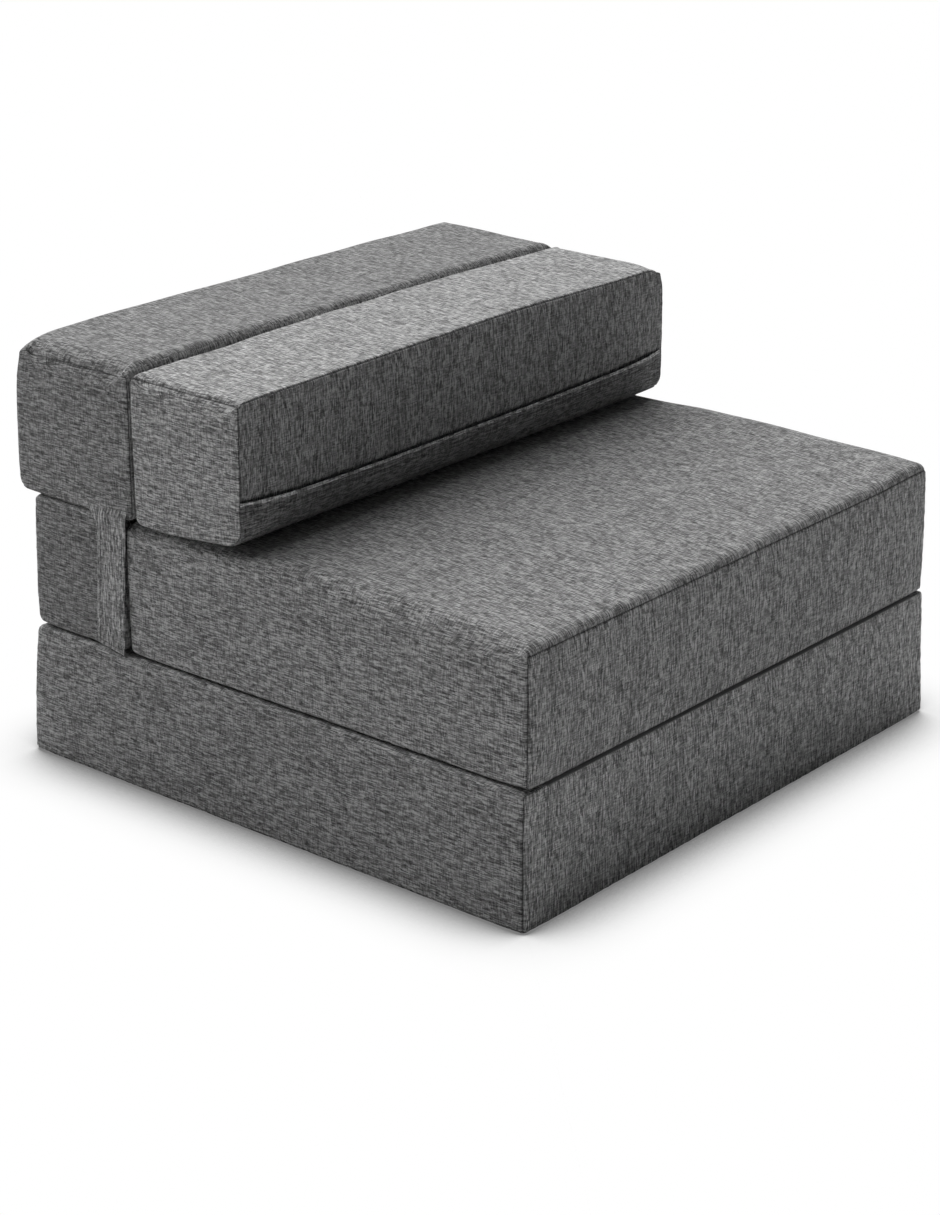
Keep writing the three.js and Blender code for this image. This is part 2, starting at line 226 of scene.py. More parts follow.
def stations(start, end, spacing, marks=()):
    """Places from start to end, spacing apart, and closer together around each mark."""
    count = max(2, int(round(abs(end - start) / spacing)) + 1)
    places = list(np.linspace(start, end, count))
    for centre, reach, step in marks:
        near = np.arange(centre - reach, centre + reach + step / 2, step)
        places = [p for p in places if abs(p - centre) > reach + step / 2]
        places += [p for p in near if min(start, end) < p < max(start, end)]
    return np.array(sorted(places, reverse=bool(end < start)))


def outline_plan(shape, spacing=1.0):
    """Each point of the outline, in order: the two corners that it lies between and its share of the
    way, its angle, its crown, and its share of the rounding of the top edge."""
    rows, seam = [], {}
    front, rear, floor, top = shape.front, shape.rear, shape.floor, shape.top
    front_foot, front_top, rear_top, rear_foot = shape.corners
    zip_marks = {"front": [], "rear": []}
    zip_marks[shape.zip_face] = [(shape.zip_z, *SLOT_MARK)]
    if shape.name == "front_back":
        zip_marks["front"] = [(shape.zip_z + SLIT_RISE, *SLIT_MARK)]
    along, deep, low = (s * spacing for s in (ALONG_SPACING, DEPTH_SPACING, FLOOR_SPACING))
    faces = (
        ("front", floor + front_foot, top - front_top, along, zip_marks["front"]),
        ("top", front + front_top, rear - rear_top, deep, []),
        ("rear", top - rear_top, floor + rear_foot, along, zip_marks["rear"]),
        ("bottom", rear - rear_foot, front + front_foot, low, []),
    )
    angle = -math.pi / 2
    for corner, (face, start, end, step, near) in enumerate(faces):
        steps = LARGE_CORNER_STEPS if shape.corners[corner] > LARGE_CORNER else SMALL_CORNER_STEPS
        first, last = TOP_EDGE_SHARES[corner]
        seam[corner] = len(rows) + shape.seam_steps.get(corner, steps // 2)
        for turn in range(steps + 1):
            share = turn / steps
            top_share = first + (last - first) * share
            rows.append((corner, corner, angle - share * math.pi / 2, 0, 0, top_share))
        angle -= math.pi / 2
        for place in stations(start, end, step, near)[1:-1]:
            share = (place - start) / (end - start)
            crowned = share
            if face == "top" and shape.name == "seat":
                crowned = np.clip(share / uncovered_share(shape), 0, 1)
            crown = shape.crown.get(face, 0) * arch(crowned)
            rows.append((corner, (corner + 1) % 4, angle, share, crown, 1 if face == "top" else 0))
    plan = np.array(rows, float).T
    return SimpleNamespace(a=plan[0].astype(int), b=plan[1].astype(int), angle=plan[2],
                           share=plan[3], lift=plan[4], top_share=plan[5], seam=seam)


def uncovered_share(shape):
    """The front share of the seat's top that is free of the back."""
    return (front_back.front - shape.front) / (shape.rear - shape.front) + BACK_EDGE_SHARE


def outline_at(shape, plan, inset):
    """The outline drawn in by inset, which holds one value for each point."""
    inset = np.broadcast_to(inset, plan.angle.shape)
    places = []
    for index in (plan.a, plan.b):
        size = shape.corners[index]
        size = np.maximum(size - inset, size * LEAST_ROUND_SHARE)
        at_front = index <= FRONT_TOP
        at_floor = (index == FRONT_FOOT) | (index == REAR_FOOT)
        y = np.where(at_front, shape.front + inset + size, shape.rear - inset - size)
        z = np.where(at_floor, shape.floor + inset + size, shape.top - inset - size)
        places.append((y + size * np.cos(plan.angle), z + size * np.sin(plan.angle)))
    (ya, za), (yb, zb) = places
    return ya + (yb - ya) * plan.share, za + (zb - za) * plan.share


# Closed skin of a block, as a grid of rings across its width

def end_rings(shape, plan, inset, side):
    """Rings round the rounded end of a block and on over the cap that closes it."""
    other, top = shape.ends[side]
    size = other + (top - other) * plan.top_share
    size = np.maximum(size - inset, size * LEAST_ROUND_SHARE)
    half = shape.half - inset
    made = []
    for turn in np.linspace(0, math.pi / 2, END_STEPS + 1):
        y, z = outline_at(shape, plan, inset + size * (1 - math.cos(turn)))
        x = side * (half - size * (1 - math.sin(turn)))
        made.append((x, y, z, side * (half - size + size * turn)))
    x, y, z, u = made[-1]
    reach_y = np.abs(y - shape.heart[1]).max()
    reach_z = np.abs(z - shape.heart[2]).max()
    for distance in CAP_DISTANCES:
        share = 1 - distance / reach_z
        if share < LEAST_CAP_SHARE:
            break
        made.append((
            x + side * shape.crown["side"] * (1 - share ** CROWN_POWER),
            shape.heart[1] + (y - shape.heart[1]) * (1 - distance / reach_y),
            shape.heart[2] + (z - shape.heart[2]) * share,
            u + side * distance,
        ))
    return made


def block_grid(shape, inset=0.0, spacing=1.0):
    """Rings of points across the block, with the length of cloth across it at each."""
    plan = outline_plan(shape, spacing)
    largest = max(max(sizes) for sizes in shape.ends.values())
    slot_ends = [(side * shape.zip_half, *SLOT_END_MARK) for side in (-1, 1)]
    stretch = shape.half - inset - largest - RING_ROOM
    y, z = outline_at(shape, plan, inset)
    left, right = (end_rings(shape, plan, inset, side) for side in (-1, 1))
    middle = [(np.full_like(y, x), y, z, np.full_like(y, x))
              for x in stations(-stretch, stretch, ALONG_SPACING * spacing, slot_ends)]
    push = (np.cos(plan.angle) * plan.lift, np.sin(plan.angle) * plan.lift)
    rings = []
    for x, y, z, u in left[::-1] + middle + right:
        share = plateau(x, shape)
        rings.append(np.stack([x, y + push[0] * share, z + push[1] * share, u], 1))
    rings = np.array(rings)
    caps = len(left) - END_STEPS - 1
    poles = [[side * (shape.half - inset + shape.crown["side"]), *shape.heart[1:]] for side in (-1, 1)]
    return SimpleNamespace(
        plan=plan,
        points=rings[..., :3],
        across=rings[..., 3],
        left=caps + END_STEPS - shape.seam_step,
        right=len(left) + len(middle) + shape.seam_step,
        poles=np.array(poles),
    )


def grid_faces(grid):
    """Corner indices of the quads, row by row, and of the fans that close the two ends."""
    rows, count = grid.points.shape[:2]
    r, i = np.meshgrid(np.arange(rows - 1), np.arange(count), indexing="ij")
    n = (i + 1) % count
    quads = np.stack([r * count + i, (r + 1) * count + i, (r + 1) * count + n, r * count + n], -1)
    i = np.arange(count)
    n = (i + 1) % count
    first, last = rows * count, (rows - 1) * count
    fans = np.concatenate([
        np.stack([np.full(count, first), i, n], -1),
        np.stack([np.full(count, first + 1), last + n, last + i], -1),
    ])
    return quads.reshape(-1, 4), fans


def add_object(name, data):
    made = bpy.data.objects.new(name, data)
    bpy.context.scene.collection.objects.link(made)
    return made


def mesh_object(name, verts, faces):
    mesh = bpy.data.meshes.new(name)
    mesh.from_pydata([tuple(v) for v in verts], [], [tuple(f) for f in faces])
    mesh.polygons.foreach_set("use_smooth", [True] * len(mesh.polygons))
    mesh.update()
    return add_object(name, mesh)


def read_points(mesh):
    places = np.empty(len(mesh.vertices) * 3, np.float32)
    mesh.vertices.foreach_get("co", places)
    return places.reshape(-1, 3).astype(float)


def read_normals(mesh):
    normals = np.empty(len(mesh.vertices) * 3, np.float32)
    mesh.vertex_normals.foreach_get("vector", normals)
    return normals.reshape(-1, 3).astype(float)


def write_points(mesh, points):
    mesh.vertices.foreach_set("co", points.astype(np.float32).ravel())
    mesh.update()


def write_values(mesh, name, values, domain="POINT"):
    layer = mesh.attributes.new(name, "FLOAT", domain)
    layer.data.foreach_set("value", np.asarray(values, np.float32))


def lay_weave(mesh, corner_uv):
    """Cloth coordinates in metres, one pair for each corner of each face."""
    layer = mesh.uv_layers.new(name="weave")
    layer.data.foreach_set("uv", corner_uv.astype(np.float32).ravel())


def lay_sheet_weave(mesh, point_uv):
    """Cloth coordinates in metres, one pair for each point."""
    loops = np.empty(len(mesh.loops), int)
    mesh.loops.foreach_get("vertex_index", loops)
    lay_weave(mesh, point_uv[loops])


# Seams of a cover

def seam_lines(shape, grid):
    """Runs of vertex indices, one for each seam."""
    count = grid.points.shape[1]
    corner = grid.plan.seam

    def along(mark):
        return [row * count + mark for row in range(grid.left, grid.right + 1)]

    def end(row, start, stop):
        steps = (stop - start) % count or count
        return [row * count + (start + step) % count for step in range(steps + 1)]

    if shape.seams == "wrapped":
        lines = [along(corner[i]) for i in range(4)]
        for row in (grid.left, grid.right):
            lines += [end(row, corner[FRONT_FOOT], corner[FRONT_TOP])]
            lines += [end(row, corner[REAR_TOP], corner[REAR_FOOT])]
            lines += [end(row, corner[REAR_FOOT], corner[FRONT_FOOT])]
        return lines
    sewn = (FRONT_FOOT, FRONT_TOP, REAR_FOOT) if shape.name == "front_back" else (FRONT_FOOT, REAR_FOOT)
    rounds = [end(row, corner[FRONT_FOOT], corner[FRONT_FOOT]) for row in (grid.left, grid.right)]
    return [along(corner[i]) for i in sewn] + rounds


def nearest_seam(points, lines):
    """Distance of each point to the nearest seam, and the length run along that seam."""
    samples = []
    run = 0.0
    for line in lines:
        places = points[line]
        steps = np.r_[0, np.linalg.norm(np.diff(places, axis=0), axis=1)]
        lengths = run + np.cumsum(steps)
        samples += list(zip(places, lengths))
        run = lengths[-1] + SEAM_RUN_GAP
    tree = KDTree(len(samples))
    for index, (place, _) in enumerate(samples):
        tree.insert(place, index)
    tree.balance()
    gap = np.empty(len(points))
    along = np.empty(len(points))
    for index, point in enumerate(points):
        _, found, distance = tree.find(point)
        gap[index] = distance
        along[index] = samples[found][1]
    return gap, along


def ripple(values, lengths, rng):
    """Smooth irregular wave of about one unit over the given wavelengths."""
    total = np.zeros_like(values)
    for length in lengths:
        total += np.sin(values * 2 * np.pi / length + rng.uniform(0, 2 * np.pi))
        overtone = values * 2 * np.pi / (length * OVERTONE_STRETCH)
        total += OVERTONE_SHARE * np.sin(overtone + rng.uniform(0, 2 * np.pi))
    return total / len(lengths)


def wave_field(points, rng):
    """Long soft undulation of about one unit."""
    total = np.zeros(len(points))
    for _ in range(WAVE_COUNT):
        direction = rng.normal(size=3)
        direction /= np.linalg.norm(direction)
        length = rng.uniform(*WAVE_LENGTHS)
        total += np.sin(points @ direction * 2 * np.pi / length + rng.uniform(0, 2 * np.pi))
    return total / math.sqrt(WAVE_COUNT)


FACING = (0.5, 0.9)
UNDER_BACK = (-30 * MM, 10 * MM)


def touching_faces(shape, normals, points):
    """Share of each point that lies against another block, where the cloth may only draw in."""
    down = smooth_step(*FACING, -normals[:, 2])
    up = smooth_step(*FACING, normals[:, 2])
    forward = smooth_step(*FACING, -normals[:, 1])
    back = smooth_step(*FACING, normals[:, 1])
    under_back = smooth_step(*UNDER_BACK, points[:, 1] - front_back.front)
    pressed = {
        "base": np.maximum(down, up),
        "seat": np.maximum(np.maximum(down, back), up * under_back),
        "lower_back": np.maximum(np.maximum(down, up), forward),
        "rear_back": np.maximum(down, forward),
        "front_back": np.maximum(down, back),
    }
    return pressed[shape.name]


def zip_outward(shape, normals):
    """How squarely each point faces the side that the zip is on."""
    return -normals[:, 1] if shape.zip_face == "front" else normals[:, 1]


def zip_slot(shape, points, normals):
    """Depth of the slot that the zip lies in."""
    gap_z = np.abs(points[:, 2] - shape.zip_z) - ZIP_HALF_HEIGHT
    gap_x = np.abs(points[:, 0]) - shape.zip_half
    gap = np.maximum(gap_z, gap_x)
    inside = 1 - smooth_step(-ZIP_SLOT_EDGE / 2, ZIP_SLOT_EDGE / 2, gap)
    return inside * smooth_step(*ZIP_FACING, zip_outward(shape, normals)) * ZIP_SLOT_DEPTH


def corner_move(points, corner, reach, shift):
    """The shift of the points around a corner, whole at the corner itself."""
    near = bell(np.linalg.norm(points - np.array(corner), axis=1), reach)
    return near[:, None] * np.array(shift)


def tuck_corners(shape, points):
    """The corners of a sewn cover draw the foam in."""
    moved = points.copy()
    for side in (-1, 1):
        for y in (shape.front, shape.rear):
            for z in (shape.floor, shape.top):
                corner = np.array([side * shape.half, y, z])
                inward = -np.sign(corner - shape.heart)
                moved += corner_move(points, corner, TUCK_REACH, inward * TUCK_DEPTH / math.sqrt(3))
    return moved


def weave_map(shape, grid, quads, fans, piece):
    """Lays the cloth on each panel in metres, with the second axis along its grain."""
    seam = grid.plan.seam
    rows, count = grid.points.shape[:2]
    y, z = outline_at(shape, grid.plan, 0.0)
    y, z = np.r_[y, y[0]], np.r_[z, z[0]]
    run = np.r_[0, np.cumsum(np.hypot(np.diff(y), np.diff(z)))]
    points = np.concatenate([grid.points.reshape(-1, 3), grid.poles])

    def side_uv(places):
        hang = np.sign(places[..., 0]) * (shape.half + shape.top - places[..., 2])
        return np.stack([hang, places[..., 1] - shape.front + run[seam[FRONT_TOP]]], -1)

    r, i = np.divmod(np.arange((rows - 1) * count), count)
    corner_rows = np.stack([r, r + 1, r + 1, r], 1)
    corner_marks = np.stack([i, i, i + 1, i + 1], 1)
    u = grid.across[corner_rows, corner_marks % count]
    v = run[corner_marks]
    in_front = (i >= seam[FRONT_FOOT]) & (i < seam[FRONT_TOP])
    in_rear = (i >= seam[REAR_TOP]) & (i < seam[REAR_FOOT])
    in_floor = (i >= seam[REAR_FOOT]) | (i < seam[FRONT_FOOT])
    beyond = (r < grid.left) | (r >= grid.right)
    rest = END_STEPS - shape.seam_step
    cap = beyond & ((r < grid.left - rest) | (r >= grid.right + rest))
    side = np.where(in_front | in_rear | in_floor, beyond, cap)
    uv = np.where(side[:, None, None], side_uv(points[quads]), np.stack([u, v], -1))
    top_panel = TOP if shape.seams == "boxed" else SIDE
    panel = np.select([side, in_front, in_rear, in_floor], [SIDE, FRONT, REAR, BOTTOM], top_panel)
    if shape.name == "front_back":
        below_lip = points[quads][..., 2].mean(1) < LIP_Z
        band = below_lip & (in_front | (i < seam[FRONT_FOOT])) & ~side
        uv = np.where(band[:, None, None], np.stack([v, u], -1), uv)
        panel = np.where(band, BAND, panel)
    uv = uv + panel[:, None, None] * PANEL_SHIFT
    lay_weave(piece.data, np.concatenate([uv.reshape(-1), side_uv(points[fans]).reshape(-1)]))
    facing = np.where((panel == SIDE) & ~side, TOP, panel)
    facing = np.r_[facing, np.full(len(fans), SIDE)]
    # Each face's tone is painted light and shade, taken from the tones of its panel.
    painted_light_and_yarn_tones = np.array([shape.painted_light_and_yarn_tones.get(name, 1.0) for name in PANELS])
    write_values(piece.data, "painted_light_and_yarn_tone", painted_light_and_yarn_tones[facing], "FACE")


# Foam that has been sat on: how far each block has settled, as the photograph shows it

HIGH_SHARE = 0.3
NEAR_END = (0.33, 0.4)
HINGE_ROOM = 0.4 * MM

BASE_FLARE = 0.007
BASE_FOOT_FLARE = 0.017
BASE_REAR_SPREAD = 3 * MM
BASE_REAR_FOOT_SPREAD = 9 * MM
BASE_TOE_SPREAD = 5 * MM
BASE_TOE_DEPTH = (0, -0.4)

SEAT_NARROWING = 3 * MM
SEAT_NARROW_END = (0.3, 0.4)
SEAT_RISE = 3 * MM
SEAT_RISE_END = (0.28, 0.38)
SEAT_FREE_DEPTH = (-20 * MM, -100 * MM)

LOWER_BACK_REAR_SPREAD = 4 * MM
PATCH_ROOM = 0.3 * MM
PATCH_EDGE = (-12 * MM, -2 * MM)

REAR_BACK_RISE = 1 * MM
REAR_BACK_LEFT_RISE = 6 * MM
REAR_BACK_LEFT_END = (0.1, -0.3)
REAR_BACK_RIGHT_DROP = 5 * MM
REAR_BACK_RIGHT_END = (0.1, 0.4)
REAR_BACK_SPREAD = 7 * MM
REAR_BACK_CORNER_REACH = 38 * MM
REAR_BACK_CORNER_SHIFT = (3.5 * MM, -3.5 * MM, -4.5 * MM)

FRONT_BACK_DROP = 8 * MM
FRONT_BACK_DROP_END = (0.05, 0.4)
FRONT_BACK_WIDENING = 6 * MM
FRONT_BACK_WIDE_END = (0.3, 0.4)
TOE_HEIGHT = 75 * MM
TOE_DEPTH = 30 * MM
TOE_RISE = 9 * MM
TOE_RIGHT_DROP = 5 * MM
TOE_SLOPE = (-0.4, 0.4)
FRONT_BACK_CORNER_REACH = 20 * MM
FRONT_BACK_CORNER_SHIFT = (-3.5 * MM, 1 * MM, -5 * MM)


def settle_base(shape, at, moved):
    """The base spreads towards the floor, most at its ends and along its front edge."""
    ahead = smooth_step(*BASE_TOE_DEPTH, at.y)
    moved[:, 0] += at.x * (BASE_FLARE + BASE_FOOT_FLARE * at.low) * at.near_end
    moved[:, 1] += at.behind * (BASE_REAR_SPREAD + BASE_REAR_FOOT_SPREAD * at.low) * at.near_end
    moved[:, 1] -= (1 - at.behind) * BASE_TOE_SPREAD * at.low ** 2 * ahead
    moved[:, 1] = np.maximum(moved[:, 1], HINGES["seat_unfold"].y + HINGE_ROOM)


def settle_seat(shape, at, moved):
    """The seat's right end is drawn in at the top, and stands a little higher ahead of the back."""
    free = smooth_step(*SEAT_FREE_DEPTH, at.y - front_back.front)
    moved[:, 1] = np.maximum(moved[:, 1], HINGES["seat_unfold"].y + HINGE_ROOM)
    moved[:, 0] -= SEAT_NARROWING * at.high * smooth_step(*SEAT_NARROW_END, at.x)
    moved[:, 2] += SEAT_RISE * at.high * free * smooth_step(*SEAT_RISE_END, at.x)


def settle_lower_back(shape, at, moved):
    """The lower back spreads behind, and gives way where the tab's patches lie against it."""
    low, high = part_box("right_tab_loop_patch")
    by_patch = smooth_step(*PATCH_EDGE, np.minimum(at.y - low.y, high.y - at.y))
    by_patch *= smooth_step(*PATCH_EDGE, np.minimum(at.z - low.z, high.z - at.z))
    excess = np.clip(np.abs(at.x) - (low.x - PATCH_ROOM), 0, None)
    moved[:, 1] += at.behind * LOWER_BACK_REAR_SPREAD * at.low * at.near_end
    moved[:, 0] -= np.sign(at.x) * excess * by_patch


def settle_rear_back(shape, at, moved):
    """The rear back's top slopes down to the right, and its left rear corner has sunk."""
    left = smooth_step(*REAR_BACK_LEFT_END, at.x)
    right = smooth_step(*REAR_BACK_RIGHT_END, at.x)
    rise = REAR_BACK_RISE + REAR_BACK_LEFT_RISE * left - REAR_BACK_RIGHT_DROP * right
    moved[:, 2] += at.high * rise
    moved[:, 1] += at.behind * REAR_BACK_SPREAD * at.low * at.near_end
    moved += corner_move(at.points, (-shape.half, shape.rear, shape.top), REAR_BACK_CORNER_REACH,
                         REAR_BACK_CORNER_SHIFT)


def settle_front_back(shape, at, moved):
    """The front back slopes down to the right, and its front foot stands clear of the seat."""
    foot = 1 - smooth_step(shape.floor, shape.floor + TOE_HEIGHT, at.z)
    ahead = smooth_step(shape.rear - TOE_DEPTH, shape.front, at.y)
    toe_rise = TOE_RISE - TOE_RIGHT_DROP * smooth_step(*TOE_SLOPE, at.x)
    moved[:, 2] -= at.high * FRONT_BACK_DROP * smooth_step(*FRONT_BACK_DROP_END, at.x)
    moved[:, 0] += FRONT_BACK_WIDENING * smooth_step(*FRONT_BACK_WIDE_END, at.x)
    moved[:, 2] += foot * ahead * toe_rise
    moved += corner_move(at.points, (shape.half, shape.front, shape.top), FRONT_BACK_CORNER_REACH,
                         FRONT_BACK_CORNER_SHIFT)


SETTLED = {
    "base": settle_base,
    "seat": settle_seat,
    "lower_back": settle_lower_back,
    "rear_back": settle_rear_back,
    "front_back": settle_front_back,
}


def settle(shape, points):
    """Foam that has been sat on: tops out of level, and lower corners spread a little."""
    moved = points.copy()
    x, y, z = points.T
    height = shape.top - shape.floor
    at = SimpleNamespace(
        points=points,
        x=x,
        y=y,
        z=z,
        high=smooth_step(shape.floor + HIGH_SHARE * height, shape.top, z),
        low=1 - (z - shape.floor) / height,
        near_end=smooth_step(*NEAR_END, np.abs(x)),
        behind=smooth_step(shape.heart[1], shape.rear, y),
    )
    SETTLED[shape.name](shape, at, moved)
    return moved


def make_cushion(shape):
    """Crowned, closed cushion with its seams, puckers, drawn-in corners and zip slot."""
    rng = np.random.default_rng(SEED + list(BLOCKS).index(shape.name))
    grid = block_grid(shape)
    quads, fans = grid_faces(grid)
    points = np.concatenate([grid.points.reshape(-1, 3), grid.poles])
    piece = mesh_object(f"{shape.name}_cushion", points, list(quads) + list(fans))
    normals = read_normals(piece.data)
    lines = seam_lines(shape, grid)
    gap, along = nearest_seam(points, lines)
    weave_map(shape, grid, quads, fans, piece)
    write_values(piece.data, "seam_gap", gap)
    write_values(piece.data, "seam_run", along)
    near_zip = bell(points[:, 2] - shape.zip_z, ZIP_CALM_REACH)
    calm = 1 - near_zip * smooth_step(*ZIP_CALM_FACING, zip_outward(shape, normals))
    pressed = touching_faces(shape, normals, points)
    wave = WAVE_HEIGHT * wave_field(points, rng) * calm
    wave = wave * (1 - pressed) - np.abs(wave) * PRESSED_WAVE_SHARE * pressed
    by_seam = PUCKER_HEIGHT * np.exp(-gap / PUCKER_REACH)
    pucker = ripple(along, PUCKER_LENGTHS, rng) * (1 - bell(gap, 2 * SEAM_HALF_WIDTH))
    pucker = (pucker - PUCKER_SINK_SHARE) * by_seam * calm
    puff = PUFF_HEIGHT * bell(gap - PUFF_PLACE, PUFF_WIDTH) * (1 - pressed)
    valley = SEAM_DEPTH * bell(gap, SEAM_HALF_WIDTH)
    height = wave + pucker + puff - valley - zip_slot(shape, points, normals)
    if shape.name == "front_back":
        height -= slit_depth(points, normals)
    moved = settle(shape, tuck_corners(shape, points + normals * height[:, None]))
    moved[:, 2] = np.maximum(moved[:, 2], shape.floor)
    write_points(piece.data, moved)
    return piece, [moved[line] for line in lines]


def make_foam(shape):
    """Cut foam block, a little smaller than the cushion that it fills."""
    grid = block_grid(shape, inset=CORE_INSET, spacing=CORE_SPACING)
    quads, fans = grid_faces(grid)
    points = np.concatenate([grid.points.reshape(-1, 3), grid.poles])
    piece = mesh_object(f"{shape.name}_foam_core", points, list(quads) + list(fans))
    moved = shape.heart + (read_points(piece.data) - shape.heart) * CORE_SHARE
    write_points(piece.data, settle(shape, tuck_corners(shape, moved)))
    return piece


# Flap over the front zip

FLAP_SEED = SEED + 20
LIP_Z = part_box("front_back_zip_flap")[1].z + 1.7 * MM
LIP_END_RISE = {-1: 8 * MM, 1: 6 * MM}
LIP_END_POWER = 3.2
# Rows of the lip that get a painted highlight: from this share of the flap's height, on the outer part
# of its fold.
LIP_HIGHLIGHT_SHARE = 0.915
LIP_HIGHLIGHT_TURN = 0.9
LIP_TURN_IN = 1.1 * MM
LIP_TURN_SHARES = (0.86, 1.0)
FOOT_Z = LIP_Z - 39 * MM
FOOT_SINK = 0.9 * MM
FOOT_SHARES = (0, 0.2)
SLIT_DEPTH = 1.5 * MM
SLIT_START = 1.5 * MM
SLIT_REACH = 5 * MM
SLIT_FOOT = (-9 * MM, -4 * MM)
SLIT_FACING = (0.5, 0.8)
SLIT_LEFT_DEEPENING = 1.2
SLIT_LEFT_REACH = 40 * MM
STITCH_DROP = 11.5 * MM
STITCH_PULL = 0.7 * MM
STITCH_WIDTH = 1.4 * MM
STITCH_SINK = 0.55 * MM
STITCH_END_ROOM = 8 * MM
FLAP_THICKNESS = 1.2 * MM
FLAP_STAND = 6.7 * MM
FLAP_STAND_SHARES = (0.05, 0.72)
FLAP_END_SHARE = 0.3
FLAP_END_REACH = 40 * MM
FLAP_COLUMN = 2.6 * MM
FLAP_ROWS = 26
FOLD_STEPS = 7
# The flap is made darker as painted shade, and its lip lighter as a painted highlight.
FLAP_PAINTED_SHADE = 0.58
FLAP_LIP_PAINTED_HIGHLIGHT = 1.7
FLAP_UV_PLACE = 1.9
FLAP_END_ROUND_SHARE = 0.1
FLAP_GAP_SHARE = 0.9
FLAP_GAP_LEAST = 0.35 * MM
CREASE_HEIGHT = 1 * MM
CREASE_REACH = 36 * MM
CREASE_LENGTHS = [7 * MM]
CREASE_LEAN = 0.12
WAVER_HEIGHT = 0.25 * MM
WAVER_LENGTHS = [55 * MM, 90 * MM]


def lip_height(x):
    """Height of the lip: level in the middle, and rising towards the two ends."""
    rise = np.where(x < 0, LIP_END_RISE[-1], LIP_END_RISE[1])
    return LIP_Z + rise * np.clip(np.abs(x) / front_back.half, 0, 1) ** LIP_END_POWER


def slit_depth(points, normals):
    """The front panel dips behind the lip of the flap, deepest at the left end."""
    above = points[:, 2] - lip_height(points[:, 0])
    dip = bell(np.clip(above - SLIT_START, 0, None), SLIT_REACH) * smooth_step(*SLIT_FOOT, above)
    deeper = 1 + SLIT_LEFT_DEEPENING * bell(points[:, 0] + front_back.half, SLIT_LEFT_REACH)
    return SLIT_DEPTH * dip * deeper * smooth_step(*SLIT_FACING, -normals[:, 1])


def front_surface(shape, across, z, out):
    """Point on the front of a block at the arc length across, standing out by a height."""
    edge = np.where(across < 0, shape.ends[-1][0], shape.ends[1][0])
    foot, brow = shape.corners[FRONT_FOOT], shape.corners[FRONT_TOP]
    flat = shape.half - edge
    turn = np.clip(np.abs(across) - flat, 0, None) / edge
    x = np.sign(across) * (np.minimum(np.abs(across), flat) + (edge + out) * np.sin(turn))
    span = shape.top - shape.floor - foot - brow
    lift = shape.crown["front"] * arch((z - shape.floor - foot) / span) * plateau(x, shape)
    toe = np.clip(shape.floor + foot - z, 0, foot)
    back = foot - np.sqrt(foot ** 2 - toe ** 2)
    y = shape.front - lift + back + edge - (edge + out) * np.cos(turn)
    return np.stack([x, y, z], -1)


def flap_ring():
    """Section of the folded flap: the share of its height and the share of its thickness."""
    shares = np.linspace(0, 1, FLAP_ROWS)
    fold = np.linspace(0, math.pi, FOLD_STEPS)[1:-1]
    outer = [(share, 0.0) for share in shares]
    round_lip = [(1.0, (1 - math.cos(turn)) / 2) for turn in fold]
    inner = [(share, 1.0) for share in shares[::-2]]
    return np.array(outer + round_lip + inner)


